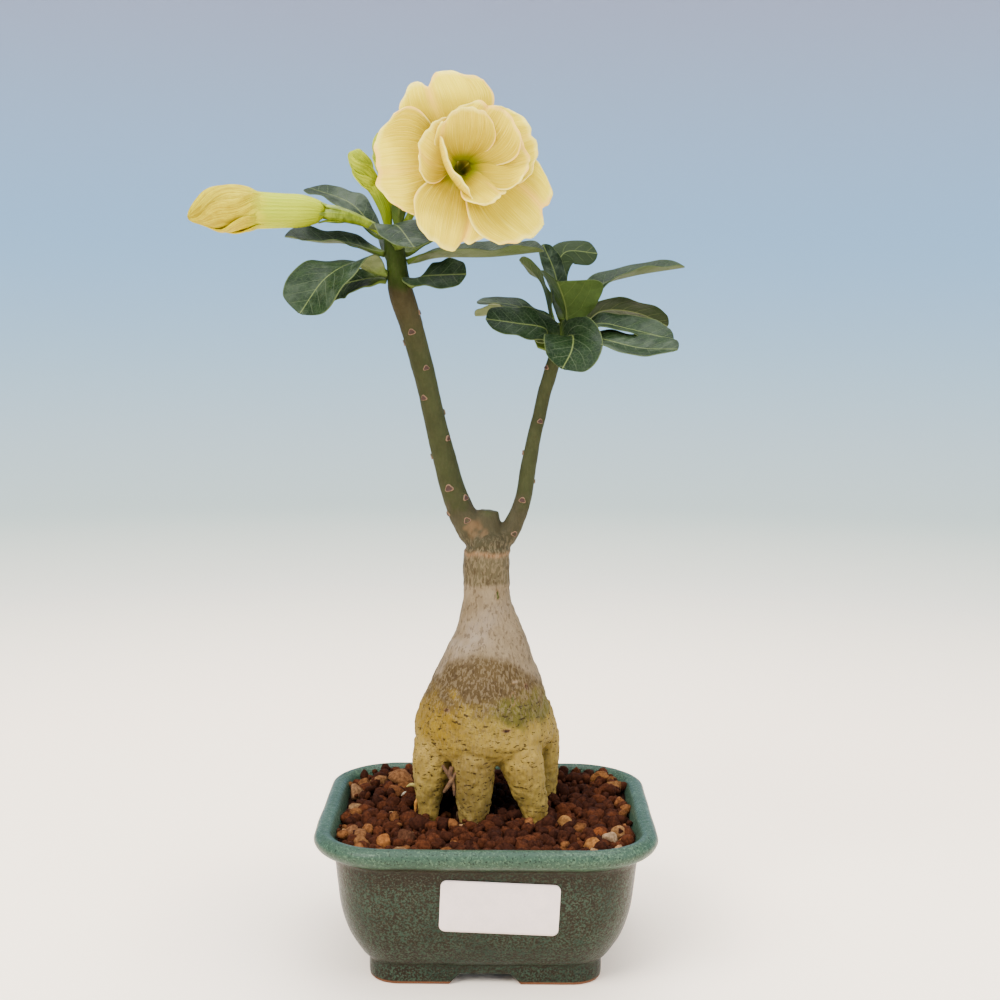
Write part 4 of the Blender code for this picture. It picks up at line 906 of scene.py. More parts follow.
def pot_surface(corner_steps):
    """The whole pot as one closed grid, once round by once through the wall.

    The wall's profile runs from the foot up the outside, over the lip, down the inside, across the
    floor, down the drain hole and back under the base. The foot's lower edge is lifted by a trapezoid
    in the middle of each side, which makes the four gaps.
    """
    gap = GAP_HALF_TOP / GAP_HALF_WIDTH
    places = np.r_[-1.8, -1.6, -1.4, -1.2, -1.0, -(1 + gap) / 2, -gap, -0.35, 0.0]
    places = np.r_[places, -places[:-1][::-1]]
    outside = smooth_path([(*row, 0) for row in WALL_OUTSIDE], 75)[:, :3]
    inside = smooth_path([(*row, 0) for row in WALL_INSIDE], 40)[:, :3]
    inset, height, radius = np.vstack([outside, inside, FOOT_INSIDE]).T
    x, y = rounded_ring(RIM_HALF_WIDTH - inset, RIM_HALF_LENGTH - inset, radius, corner_steps, places)
    grid = stacked(x, y, height[:, None])
    count = len(outside) + len(inside)
    direction = unit(grid[count - 1, :, :2]) * DRAIN_RADIUS
    hole = [np.column_stack([direction, np.full(len(direction), z)]) for z in (FLOOR_TOP, BASE_HEIGHT)]
    grid = np.concatenate([grid[:count], hole, grid[count:]])
    narrow = np.minimum(np.abs(grid[..., 0]), np.abs(grid[..., 1]))
    lift = GAP_HEIGHT * np.clip((GAP_HALF_WIDTH - narrow) / (GAP_HALF_WIDTH - GAP_HALF_TOP), 0, 1)
    foot = np.zeros(len(grid), bool)
    foot[:len(outside)] = outside[:, 1] < GAP_FADES_AT
    foot[-2:] = True
    z = grid[..., 2]
    lifted = lift + z * (GAP_FADES_AT - lift) / GAP_FADES_AT
    grid[..., 2] = np.where(foot[:, None] & (z < GAP_FADES_AT), lifted, z)
    uneven = POT_UNEVENNESS * waves(grid, 34.0, 3) * rise(grid[..., 2], 10.0, 20.0)
    grid = grid + unit(grid * (1, 1, 0) + 1e-9) * uneven[..., None]
    index = np.arange(grid.shape[0] * grid.shape[1]).reshape(grid.shape[:2])
    return {"points": grid.reshape(-1, 3), "faces": [quads(index, True, True)], "values": {}}


def soil_height(x, y):
    """Height of the soil: mounded round the plant, risen to the back, with a small hollow by the roots."""
    mound = SOIL_MOUND * np.exp(-(x**2 + (y - 6) ** 2) / 34.0**2)
    back = SOIL_BACK_RISE * np.clip(y / 48.0, 0, 1) ** 1.5
    away = (x - HOLLOW_PLACE[0]) ** 2 + (y - HOLLOW_PLACE[1]) ** 2
    return SOIL_EDGE_HEIGHT + mound + back - HOLLOW_DEPTH * np.exp(-away / HOLLOW_RADIUS**2)


def wall_inset(height):
    """Inset of the pot's inner wall at a height."""
    insets = np.array(WALL_INSIDE)[::-1]
    return np.interp(height, insets[:, 1], insets[:, 0])


def edge_room(x, y, inset):
    """Distance of points on the soil from a rounded rectangle that lies inside the rim by an inset."""
    over_x = np.abs(x) - (RIM_HALF_WIDTH - inset - SOIL_CORNER_RADIUS)
    over_y = np.abs(y) - (RIM_HALF_LENGTH - inset - SOIL_CORNER_RADIUS)
    outside = np.hypot(np.maximum(over_x, 0), np.maximum(over_y, 0))
    return SOIL_CORNER_RADIUS - outside - np.minimum(np.maximum(over_x, over_y), 0)


def soil_bed():
    """The dark bed under the granules: rings of a rounded rectangle scaled towards the middle."""
    scales = np.linspace(1, 0.02, 40)[:, None]
    inset = wall_inset(SOIL_EDGE_HEIGHT) + 0.3
    size = [RIM_HALF_WIDTH - inset], [RIM_HALF_LENGTH - inset], [SOIL_CORNER_RADIUS]
    x, y = (part * scales for part in rounded_ring(*size, 10, np.linspace(-1.8, 1.8, 19)))
    top = stacked(x, y, soil_height(x, y) - SOIL_BED_DEPTH)
    top[..., 2] += 0.5 * waves(top, 5.0, 8)
    bottom = top[:1] * (0.86, 0.86, 0) + (0, 0, SOIL_BOTTOM)
    rings = np.concatenate([bottom, top])
    return capped(rings, tint=np.broadcast_to(SOIL_BED_TINT, rings.shape))


def granule_shape(subdivisions):
    """Points and triangles of a unit sphere of near-even triangles."""
    mesh = bmesh.new()
    bmesh.ops.create_icosphere(mesh, subdivisions=subdivisions, radius=1.0)
    mesh.verts.ensure_lookup_table()
    points = np.array([vertex.co for vertex in mesh.verts])
    faces = np.array([[vertex.index for vertex in face.verts] for face in mesh.faces])
    mesh.free()
    return points, faces


def granules(spots, radii, tints, subdivisions, seed):
    """Angular granules: a sphere whose radius along d is the least of h / (d . n) over random planes.

    A softened minimum rounds the edges, and waves of a few hundredths of the size crumble the surface.
    """
    random = np.random.default_rng(seed)
    base, triangles = granule_shape(subdivisions)
    count = len(spots)
    normal = unit(random.normal(size=(count, GRANULE_PLANES, 3)))
    height = random.uniform(0.7, 1.0, (count, GRANULE_PLANES))
    facing = np.maximum(np.einsum("vk,npk->nvp", base, normal), 0.02)
    reach = ((height[:, None] / facing) ** -12).sum(-1) ** (-1 / 12)
    local = base[None] * np.minimum(reach, 1.3)[..., None] * random.uniform(0.74, 1.12, (count, 1, 3))
    local = local * radii[:, None, None]
    shift = random.uniform(-50, 50, (count, 1, 3))
    rough = waves(local + shift, 2.6, seed + 1) * 0.045 + waves(local + shift, 1.1, seed + 2) * 0.022
    points = spots[:, None] + local * (1 + rough[..., None])
    faces = triangles[None] + np.arange(count)[:, None, None] * len(base)
    values = {"tint": np.repeat(tints, len(base), axis=0)}
    return {"points": points.reshape(-1, 3), "faces": [faces.reshape(-1, 3)], "values": values}


def granule_tints(spots, seed):
    """A colour for each granule: red-brown, and tan or orange more often near the front and side edges;
    darkened under the caudex as painted shade.
    """
    random = np.random.default_rng(seed)
    brown, rust, tan, cream = (np.array(tint) for tint in GRANULE_TINTS)
    share = random.uniform(0, 1, (len(spots), 1)) ** 1.5
    tint = brown * (1 - share) + rust * share
    x, y = spots[:, 0], spots[:, 1]
    side = rise(np.abs(x), 30, 46) + rise(-y, 34, 46) * fall(x, -20, 2)
    odds = 0.03 + 0.45 * fall(edge_room(x, y, 8), -1, 9) * np.clip(side, 0, 1)
    odds = np.where(y > 20, odds * 0.55, odds)
    chosen = random.uniform(0, 1, len(spots)) < odds
    light = random.uniform(0, 1, (len(spots), 1))
    pale = tan * (1 - light) + np.where(light > 0.8, cream, tan) * light
    pale = pale * random.uniform(0.55, 1.1, (len(spots), 1))
    tint = np.where(chosen[:, None], pale, tint)
    # Painted shade: granules under the overhanging caudex are darkened by up to three quarters
    under = np.hypot(x - CAUDEX_PLACE[0], y - CAUDEX_PLACE[1])
    return tint * (1 - 0.75 * fall(under, 15, 24))[:, None]


def soil_stones():
    """The larger stones and straw bits that lie on the soil."""
    stones = np.array([(*place_and_radius, *tint) for *place_and_radius, tint in STONES])
    spots = stones[:, :3]
    spots[:, 2] += soil_height(spots[:, 0], spots[:, 1])
    pieces = [granules(spots, stones[:, 3], 0.75 * stones[:, 4:], 3, 611)]
    for *stations, tint in STRAWS:
        straw = tube(stations, 12, 8, (0, 1, 0.3))
        straw["values"] = {"tint": np.tile(tint, (len(straw["points"]), 1))}
        pieces.append(straw)
    return join(pieces)


def clear_of_roots(spots, radii):
    """True for the granules that lie outside every root leg."""
    free = np.ones(len(spots), bool)
    for leg in ROOT_LEGS:
        path = smooth_path(leg, 40)
        gap = np.linalg.norm(spots[:, None] - path[None, :, :3], axis=-1) - path[None, :, 3]
        free &= gap.min(axis=1) > radii * 0.72
    return free


def granule_layer(spacing, sizes, sink, keep, seed):
    """One layer of granules on a jittered triangular lattice, each sunk by a share of its radius."""
    random = np.random.default_rng(seed)
    row = np.arange(-60, 60, spacing * math.sqrt(0.75))
    column = np.arange(-66, 66, spacing)
    x = (column[None, :] + (np.arange(len(row)) % 2)[:, None] * spacing / 2).ravel()
    y = np.repeat(row, len(column))
    x = x + random.uniform(-0.32, 0.32, len(x)) * spacing
    y = y + random.uniform(-0.32, 0.32, len(x)) * spacing
    radii = sizes[0] + (sizes[1] - sizes[0]) * random.uniform(0, 1, len(x)) ** 1.7
    z = soil_height(x, y) - radii * sink + random.uniform(-0.5, 0.5, len(x)) * sizes[0] * 0.5
    spots = np.column_stack([x, y, z])
    room = edge_room(x, y, wall_inset(z) + 0.15)
    wanted = (room > radii * 0.8) & clear_of_roots(spots, radii) & (random.uniform(0, 1, len(x)) < keep)
    spots, radii = spots[wanted], radii[wanted]
    return granules(spots, radii, granule_tints(spots, seed + 90), 2, seed + 50)


def branch_at(branch, height):
    """Centre, direction and radius of a branch at a height."""
    path = smooth_path(branch, 200)
    along = unit(np.gradient(path[:, :3], axis=0))
    pick = [np.interp(height, path[:, 2], column) for column in np.column_stack([path, along]).T]
    return np.array(pick[:3]), unit(pick[4:]), pick[3]


def scar_patch(branch, height, angle_deg, size):
    """A leaf scar: a rounded triangle laid on the branch, with a raised rim and a sunken middle.

    Rows run from the middle to the edge and on to a buried ring; the outline is
    size * (1 + 0.16 cos 3t), and the surface stands on the branch's own cylinder.
    """
    centre, along, radius = branch_at(branch, height)
    angle = np.arange(28)[None, :] * TURN / 28
    share, stand = np.array(SCAR_PROFILE).T[..., None]
    outline = size * (1 + 0.16 * np.cos(3 * (angle - math.pi / 2)))
    around = share * outline * np.cos(angle)
    up = share * outline * np.sin(angle) * 0.85
    turn = math.radians(angle_deg) + around / radius
    side = unit(np.cross((0.0, 1.0, 0.0), along))
    outward = side * np.sin(turn)[..., None] + np.cross(side, along) * np.cos(turn)[..., None]
    grid = centre + along * up[..., None] + outward * (radius + stand + 0 * up)[..., None]
    return capped(grid, across=share + 0 * angle)


def skin_zones(p):
    """Colours of the body's skin from its design place, with a painted sheen on the upper caudex, and where
    it is flecked and porous.
    """
    x, z = p[:, 0], p[:, 2]
    rough = waves(p, 9.0, 21) * 2.2 + waves(p, 3.5, 22) * 0.9
    uneven = z + rough
    colour = np.tile(tone("root_yellow"), (len(p), 1))

    def paint(name, weight):
        nonlocal colour
        colour = colour + (np.array(tone(name)) - colour) * np.clip(weight, 0, 1)[:, None]

    paint("bark_brown", 0.4 * fall(np.abs(x + 5), 5, 10) * fall(uneven, 80, 90))
    paint("root_olive", 0.7 * rise(uneven, 78, 96))
    paint("root_gold", rise(uneven, 80, 92) * fall(x, -14, -4))
    paint("bark_brown", rise(uneven - np.abs(x + 1) * 0.12, 92, 104))
    paint("bark_green", 0.75 * rise(uneven, 91, 97) * fall(uneven, 98, 104) * rise(x, -2, 7))
    arch = z + rough * 0.6 + (np.abs(x + 2) / 17.0) ** 2 * 7.0
    paint("bark_beige", rise(arch, 116, 121))
    # Painted sheen: a whitish diagonal highlight across the upper caudex, laid into the bark colour
    sheen = fall(np.abs(x + 8 - (z - 122) * 0.75) - rough, 0, 9)
    paint("bark_white", 0.8 * rise(arch, 118, 124) * sheen * fall(z, 130, 142))
    paint("bark_band", rise(z + rough * 0.25, 143.6, 145.2))
    paint("bark_beige", bell(z + rough * 0.15, 144.6, 0.8))
    paint("branch_grey", rise(z + rough * 0.3, 157.6, 159.0))
    paint("bark_cork", 0.85 * bell(z + rough * 0.2, 157.6, 0.9))
    paint("bark_cork", 0.5 * fall(np.abs(x + 6.5 + rough), 1, 3.5) * fall(np.abs(z - 168 - rough), 1, 5))
    paint("branch_green", rise(z + rough * 1.5, 171, 182))
    paint("branch_brown", 0.75 * rise(uneven, 235, 255) * (x < 0))
    paint("shoot_green", rise(z + rough * 0.4, 259, 263) * (x < 0))
    paint("shoot_green", rise(z + rough * 0.6, 232, 240) * (x > 0))
    front = p[:, 1] < CAUDEX_PLACE[1]
    for mark_x, mark_z, half_width, half_height, name in SKIN_MARKS:
        gap = np.hypot((x - mark_x + rough * 0.12) / half_width, (z - mark_z) / half_height)
        paint("bark_cork", 0.8 * fall(gap, 1.1, 1.45) * front)
        paint(name, fall(gap, 0.8, 1.1) * front)
    flecked = 0.45 + 0.55 * rise(z, 92, 100) - 0.93 * rise(z, 158, 168)
    porous = 1.0 - rise(z, 98, 108) + 0.12 * rise(z, 165, 175)
    return {"skin": colour, "flecked": flecked, "porous": porous}


def body_surface(obj):
    """The body's points moved along their normals: soft lumps, ring ridges at the grafts, fine wrinkles."""
    mesh = obj.data
    points, normals = np.empty((2, len(mesh.vertices) * 3), np.float32)
    mesh.vertices.foreach_get("co", points)
    mesh.vertex_normals.foreach_get("vector", normals)
    p = points.reshape(-1, 3) / MM - ORIGIN
    z = p[:, 2]
    squashed = p * (1.0, 1.0, 0.45)
    move = 0.22 * waves(p, 13.0, 31) + 0.1 * waves(squashed, 3.2, 32) + 0.05 * waves(squashed, 1.7, 33)
    move += fall(z, 96, 112) * (0.14 * waves(p, 4.2, 34) + 0.1 * waves(p, 2.3, 35))
    for height, width, ridge in GRAFT_RIDGES:
        move += ridge * bell(z, height, width)
    move *= 1.0 - 0.6 * rise(z, 165, 180)
    moved = p + normals.reshape(-1, 3) * move[:, None]
    mesh.vertices.foreach_set("co", place(moved).ravel())
    mesh.update()
    return moved


def leaf_half_width(s, width, start):
    """Half the width of a blade: stalk + s^start (1.02 - s)^0.45 over its peak, closed by a round tip."""
    peak = 1.02 * start / (start + 0.45)
    shape = s**start * (1.02 - s) ** 0.45 / (peak**start * (1.02 - peak) ** 0.45)
    tip = np.sqrt(np.clip(1 - (np.maximum(s - 0.93, 0) / 0.07) ** 2, 0, 1))
    return (STALK_HALF_WIDTH + (width / 2 - STALK_HALF_WIDTH) * shape) * tip


def leaf_blade(midrib, width, face_base, face_tip, fold_deg, start, bloom, shade, seed, rows=56, columns=25,
               crinkle=1.0):
    """A leaf: rows across a smooth midrib, folded like a soft V, with wavy edges and raised veins.

    Across the blade the height is fold * sqrt(w^2 + c^2) - curl * |u|^3 + edge waves; the side veins are
    furrows on top and ridges below, and the midrib stands out underneath and thickens into the stalk.
    """
    phase = np.random.default_rng(seed).uniform(0, TURN, 2)
    tip_rows = 0.9 + 0.0999 * np.sin(np.linspace(0, math.pi / 2, 12))
    s = np.r_[np.linspace(0, 0.9, rows - 12, endpoint=False), tip_rows]
    path = smooth_path(midrib, s)
    length = np.linalg.norm(np.diff(path, axis=0), axis=1).sum()
    along = unit(np.gradient(path, s, axis=0))
    s = s[:, None]
    across = unit(np.cross(along, np.asarray(face_base, float) * (1 - s) + np.asarray(face_tip, float) * s))
    normal = np.cross(across, along)
    reach = math.pi / 2 * 0.985
    u = np.sin(np.linspace(-1, 1, columns) * reach)[None, :] / math.sin(reach)
    half = leaf_half_width(s, width, start)
    w = u * half
    fold = math.radians(fold_deg)
    raised = (np.sqrt(w**2 + 0.8) - math.sqrt(0.8)) * math.sin(fold)
    raised = raised - 0.035 * half * np.abs(u) ** 3
    rippled = np.sin(TURN * 2.1 * s + phase[0] + 1.3 * np.sign(u))
    rippled = rippled + 0.6 * np.sin(TURN * 3.7 * s + phase[1] - np.sign(u))
    raised = raised + crinkle * 0.55 * rippled * np.abs(u) ** 2.5 * rise(s, 0.1, 0.4) * fall(s, 0.8, 1.02)
    cell = (s * length - 0.62 * np.abs(w) - 0.035 * w**2) / VEIN_SPACING
    furrow = bell(cell, np.round(cell), 0.1) * fall(np.abs(u), 0.7, 0.98) * rise(np.abs(w), 0.4, 1.6)
    raised = raised - 0.16 * crinkle * furrow * rise(s, 0.15, 0.3)
    grid = path[:, None] + across[:, None] * (w * math.cos(fold))[..., None]
    grid = grid + normal[:, None] * raised[..., None]
    plain = LEAF_HALF_THICKNESS * (1 - 0.55 * np.abs(u) ** 6) + 0.85 * np.exp(-s * length / 6.0)
    above = plain - 0.2 * bell(w, 0, 0.5) * rise(s, 0.08, 0.2) * (1 - 0.6 * s)
    below = plain + 0.6 * bell(w, 0, 0.75) * (1 - 0.85 * s) * rise(s, 0.0, 0.1)
    blade = stacked(s * length / 10, w / 10, np.abs(u))
    # tone holds the grey bloom, also painted sheen, and the painted shade of the underside
    return shell(grid, above, below, blade=blade, tone=np.broadcast_to((bloom, shade, 0.0), blade.shape))


def stem_seat(branch, height, heading_deg):
    """Two points of a leaf stalk that leaves a branch: on the bark, and further out."""
    centre, _, radius = branch_at(branch, height)
    heading = math.radians(heading_deg)
    outward = np.array([math.cos(heading), math.sin(heading), 0.0])
    seat = centre + outward * (radius + LEAF_SEAT)
    return seat, centre + outward * (radius + STALK_REACH) + UP * STALK_CLIMB


def in_flower(points, shift):
    """Points given to the right, to the top and out of the flower's face, in design millimetres."""
    out = unit(FLOWER_FACING)
    right = unit(np.cross(FLOWER_TOP_DIRECTION, out))
    return (points + (*shift, 0.0)) @ np.stack([right, np.cross(out, right), out]) + FLOWER_CENTRE


def petal_blade(angle_deg, length, width, root, lift, climb_root, climb_edge, slope_deg, ruffle, count,
                phase, notch_at, notch_depth, wrap, index, shift=(0, 0)):
    """A petal: from its root it climbs and bends over along an arc, and it slopes and ruffles sideways.

    Reach along the arc is s (1 - 0.3 |u|^2.3 - notch s), the half width grows like a quarter sine, and
    the edge waves by ruffle * s^2.2 * sin(count pi u + phase).
    """
    s = np.linspace(0, 1, PETAL_ROWS)[:, None]
    u = np.sin(np.linspace(-1, 1, PETAL_ROWS + 1) * math.pi / 2)[None, :]
    notch = notch_depth * bell(u, notch_at, 0.13)
    notch = notch + 0.018 * np.sin(7.0 * u + phase) + 0.012 * np.sin(17.0 * u + 2 * phase)
    reach = s * (1 - 0.3 * np.abs(u) ** 2.3 - notch * s**2)
    fine = np.linspace(0, 1, 201)
    climb = np.radians(climb_root + (climb_edge - climb_root) * fine**0.8)[1:]
    steps = (np.cos(climb), np.sin(climb))
    outward_arc, upward_arc = (np.r_[0, np.cumsum(step / 200)] * length for step in steps)
    outward = root + np.interp(reach, fine, outward_arc)
    upward = lift + np.interp(reach, fine, upward_arc)
    widening = np.sin(math.pi / 2 * np.minimum(s / PETAL_WIDEST_AT, 1)) ** 0.9
    half = PETAL_CLAW + (width / 2 - PETAL_CLAW) * widening
    sideways = u * half * (1 - 0.12 * rise(s, PETAL_WIDEST_AT, 1.05))
    slope = math.radians(slope_deg)
    upward = upward + sideways * math.sin(slope) * np.minimum(1, 3 * s)
    upward = upward + 0.9 * u**2 * s * (width / 40)
    upward = upward + ruffle * s**2.2 * np.sin(count * math.pi * u + phase)
    upward = upward + 0.35 * ruffle * s**3 * np.sin(5.1 * math.pi * u + 3 * phase)
    crease = bell(u, notch_at, 0.09) * rise(s, 0.3, 0.9)
    upward = upward - (0.4 + 6.0 * notch_depth) * crease
    sideways = sideways * math.cos(slope)
    bent = wrap * sideways / np.maximum(outward, 6.0)
    sideways = outward * np.sin(bent) + (1 - wrap) * sideways
    outward = outward * np.cos(bent)
    across, up = math.cos(math.radians(angle_deg)), math.sin(math.radians(angle_deg))
    grid = stacked(outward * across - sideways * up, outward * up + sideways * across, upward)
    thick = PETAL_THICKNESS / 2 * (1 + 0.9 * (1 - s) ** 3)
    mark = crease * min(1.0, notch_depth / 0.08)
    return shell(in_flower(grid, shift), thick, thick, petal=stacked(s, u, 0.37 * index), crease=mark)


def throat_cup():
    """The hollow throat: a closed profile of radius and depth turned round the flower's axis."""
    radius, depth = smooth_path(THROAT, 70).T[..., None]
    angle = np.arange(60)[None, :] * TURN / 60
    radius = radius * (1 + 0.06 * np.cos(5 * angle))
    rings = in_flower(stacked(radius * np.cos(angle), radius * np.sin(angle), depth), INNER_SHIFT)
    petal = stacked(0.16 * rise(depth, -9.0, 0.0), np.sin(2.5 * angle), 0.0)
    return capped(rings, petal=petal, crease=np.zeros(rings.shape[:2]), under=np.zeros(rings.shape[:2]))


def sepal_blade(path, reach, turn_deg, width):
    """A narrow pointed sepal that lies round the start of a corolla tube."""
    rows, columns = 24, 7
    s = np.linspace(0, 1, rows)
    line = smooth_path(path, rows)
    side, top = path_sides(line, UP)
    turn = math.radians(turn_deg)
    outward = side * math.cos(turn) + top * math.sin(turn)
    across = np.cross(unit(np.gradient(line, axis=0)), outward)[:, None]
    half = (width / 2 * np.sqrt(1.02 - s) * (0.75 + 0.5 * s))[:, None, None]
    u = np.linspace(-1, 1, columns)[None, :, None]
    distance = np.interp(s, np.linspace(0, 1, len(reach)), reach)[:, None, None]
    grid = line[:, None] + outward[:, None] * (distance - 0.25 * u**2 * half) + across * (u * half)
    piece = shell(grid, SEPAL_THICKNESS / 2, SEPAL_THICKNESS / 2)
    piece["values"] = {"along": np.tile(np.repeat(s, columns), 2)[:, None],
                       "around": np.zeros((2 * rows * columns, 1))}
    return piece


def stalk_with_sepals(stalk, path, reach, first_deg, width):
    """A stalk joined with the ring of sepals round its end."""
    turns = [360 / SEPALS * index + first_deg for index in range(SEPALS)]
    return join([stalk, *(sepal_blade(path, reach, turn, width) for turn in turns)])


def bud_sheet(stations, start, curl, head_from, twist, lift):
    """A rolled petal of a bud: a strip that winds round its head, tucked in at u = 0 and free at u = 1.

    Its angle is start + twist * share - 0.36 u of a turn, and it stands off the tube by lift u^1.3
    plus a curled lip near its free edge.
    """
    s = np.linspace(head_from - 0.02, 0.995, 70)
    path = smooth_path(stations, s)
    centre, radius = path[:, :3], path[:, 3:]
    steep = abs(unit(centre[1] - centre[0])[2]) >= 0.7
    side, top = path_sides(centre, (0, 1, 0) if steep else (0, 0, 1))
    s, u = s[:, None], np.linspace(0, 1, 30)[None, :]
    share = (s - head_from) / (1 - head_from)
    angle = TURN * (start + twist * share - BUD_SHEET_TURN * u - 0.02 * np.sin(9 * share + 20 * start))
    widest = radius.max()
    grown = rise(share, -0.04, 0.16) * (0.25 + 0.75 * fall(share, 0.65, 1.0))
    offset = -0.09 * widest + (0.09 * widest + lift) * u**1.3 * grown
    offset = offset + curl * rise(u, 0.72, 1.0) * bell(share, 0.42, 0.3)
    offset = offset + 0.02 * widest * np.sin(26 * u + 5 * share + 9 * start) * grown * rise(u, 0.1, 0.3)
    reach = radius * (1 + 0.05 * np.sin(7 * share + 12 * start)) + offset
    grid = centre[:, None] + np.maximum(reach, 0.25)[..., None] * turned(side, top, angle)
    # Painted shade: fold marks the tucked-in edge under the next rolled petal and a faint crease across the
    # middle
    fold = bell(u, 0, 0.22) + 0.5 * bell(u, 0.55, 0.1) * rise(share, 0.2, 0.5)
    thick = 0.24 + 0.06 * rise(u, 0.8, 1.0)
    return shell(grid, thick, thick, along=s + 0 * u, around=u + 0 * s, fold=fold)


def rolled_bud(stations, sheets, head_from, twist, lift, reference, ribs):
    """A bud: a softly lobed and ribbed tube whose head is wrapped in rolled petals."""
    def swell(s, angle):
        head = rise(s, head_from, head_from + 0.1)
        ribbing = 0.025 * np.cos(5 * angle + 2.0 * s) + 0.007 * np.cos(ribs * angle)
        return 1 + ribbing * (1 - head) - 0.05 * head

    core = tube(stations, 110, 120, reference, swell)
    # Painted shade on the core, which shows only in the gaps between the rolled petals
    core["values"]["fold"] = 0.8 * rise(core["values"]["along"], head_from + 0.03, head_from + 0.1)
    core["values"]["under"] = np.zeros((len(core["points"]), 1))
    wraps = [bud_sheet(stations, start, curl, head_from, twist, lift) for start, curl in sheets]
    return join([core, *wraps])


def label_blade(width, height):
    """A blank label with rounded corners that follows the front wall."""
    u = np.sin(np.linspace(-1, 1, 61) * math.pi / 2)[None, :]
    v = np.linspace(-1, 1, 25)[:, None]
    past = np.maximum(np.abs(u) * width / 2 - (width / 2 - LABEL_CORNER), 0)
    tall = height / 2 - LABEL_CORNER + np.sqrt(np.maximum(LABEL_CORNER**2 - past**2, 0.0))
    column, row = u * width / 2 + 0 * v, v * tall
    tilt = math.radians(LABEL_TILT_DEG)
    x = LABEL_CENTRE[0] + column * math.cos(tilt) - row * math.sin(tilt)
    z = LABEL_CENTRE[1] + column * math.sin(tilt) + row * math.cos(tilt)
    wall = smooth_path([(*station, 0) for station in WALL_OUTSIDE], 200)
    y = -(RIM_HALF_LENGTH - np.interp(z, wall[:, 1], wall[:, 0])) - LABEL_OFFSET
    return shell(stacked(x, y, z), LABEL_THICKNESS / 2, LABEL_THICKNESS / 2)


class ColourSettings(bpy.types.PropertyGroup):
    """Colours of every finish, as linear values."""


COLOUR_DEFAULTS = {
    "glaze_green": ((0.023, 0.042, 0.026), "Teal islands of the glaze"),
    "glaze_deep": ((0.0112, 0.023, 0.0142), "Deeper teal islands"),
    "glaze_brown": ((0.0112, 0.0073, 0.0035), "Grey-brown between the islands"),
    "glaze_grey": ((0.045, 0.05, 0.031), "Fine grey speckle"),
    "glaze_lip": ((0.056, 0.1, 0.06), "Paler glaze on the lip"),
    "glaze_lip_deep": ((0.026, 0.052, 0.034), "Darker speckle on the lip"),
    "glaze_speck": ((0.005, 0.006, 0.0035), "Dark specks"),
    "bare_clay": ((0.15, 0.06, 0.028), "Unglazed foot"),
    "root_yellow": ((0.25, 0.168, 0.034), "Roots"),
    "root_olive": ((0.15, 0.105, 0.013), "Lower body above the roots"),
    "root_gold": ((0.17, 0.105, 0.006), "Golden patch on the left"),
    "bark_brown": ((0.058, 0.037, 0.0135), "Brown zone of the caudex"),
    "bark_green": ((0.05, 0.052, 0.006), "Green tint above the roots"),
    "bark_beige": ((0.157, 0.116, 0.068), "Upper caudex"),
    "bark_white": ((0.22, 0.175, 0.13), "Whitish sheen patch"),
    "bark_band": ((0.072, 0.056, 0.028), "Band between the grafts"),
    "bark_cork": ((0.17, 0.092, 0.042), "Corky collars"),
    "bark_fleck": ((0.2, 0.15, 0.085), "Pale flecks"),
    "bark_crack": ((0.025, 0.013, 0.005), "Dark cracks"),
    "bark_pore": ((0.013, 0.006, 0.002), "Dark pores"),
    "branch_grey": ((0.039, 0.034, 0.017), "Stub"),
    "branch_green": ((0.029, 0.033, 0.011), "Branches"),
    "branch_brown": ((0.039, 0.028, 0.011), "Upper bark of the left branch"),
    "shoot_green": ((0.02, 0.034, 0.0035), "Fresh shoots"),
    "scar_middle": ((0.03, 0.009, 0.004), "Middle of a leaf scar"),
    "scar_rim": ((0.17, 0.09, 0.045), "Rim of a leaf scar"),
    "leaf_top": ((0.003, 0.0105, 0.0024), "Leaf top"),
    "leaf_top_light": ((0.007, 0.019, 0.0042), "Lighter blotches of the leaf top"),
    "leaf_bloom_and_sheen": ((0.048, 0.066, 0.04), "Grey bloom on the leaf top"),
    "leaf_vein": ((0.075, 0.1, 0.05), "Fine veins"),
    "leaf_midrib": ((0.11, 0.14, 0.04), "Midrib"),
    "leaf_stalk": ((0.07, 0.105, 0.012), "Leaf stalk"),
    "leaf_under_pale": ((0.1, 0.125, 0.05), "Pale underside"),
    "leaf_under": ((0.032, 0.055, 0.011), "Underside"),
    "leaf_under_deep": ((0.011, 0.021, 0.005), "Darker underside"),
    "petal_root": ((0.36, 0.25, 0.0), "Petal root"),
    "petal_middle": ((0.53, 0.38, 0.0), "Petal middle"),
    "petal_edge": ((0.8, 0.605, 0.015), "Petal edge"),
    "petal_pale": ((1.0, 0.84, 0.2), "Pale petal veins"),
    "petal_blush": ((0.9, 0.47, 0.08), "Pink blush"),
    "throat_green": ((0.13, 0.16, 0.0), "Throat"),
    "bud_green": ((0.27, 0.33, 0.0), "Bud tube"),
    "bud_pale": ((0.4, 0.45, 0.01), "Ribs of the bud tube"),
    "bud_yellow": ((0.34, 0.25, 0.0), "Bud head"),
    "bud_cream": ((0.52, 0.42, 0.004), "Pale folds of the bud head"),
    # Painted shade in the folds of the bud head
    "bud_fold_shade": ((0.19, 0.125, 0.0), "Furrows of the bud head"),
    "small_bud_green": ((0.21, 0.26, 0.004), "Heads of the small buds"),
    "stalk_light": ((0.21, 0.27, 0.011), "Stalks"),
    "stalk_deep": ((0.1, 0.14, 0.004), "Darker stalk streaks"),
    "label": ((0.74, 0.625, 0.59), "Label paper"),
    "floor": ((0.97, 0.86, 0.72), "Floor"),
    "backdrop_low": ((0.68, 0.78, 0.66), "Backdrop behind the pot"),
    "backdrop_middle": ((0.253, 0.462, 0.68), "Backdrop behind the branches"),
    "backdrop": ((0.37, 0.315, 0.385), "Upper backdrop"),
}
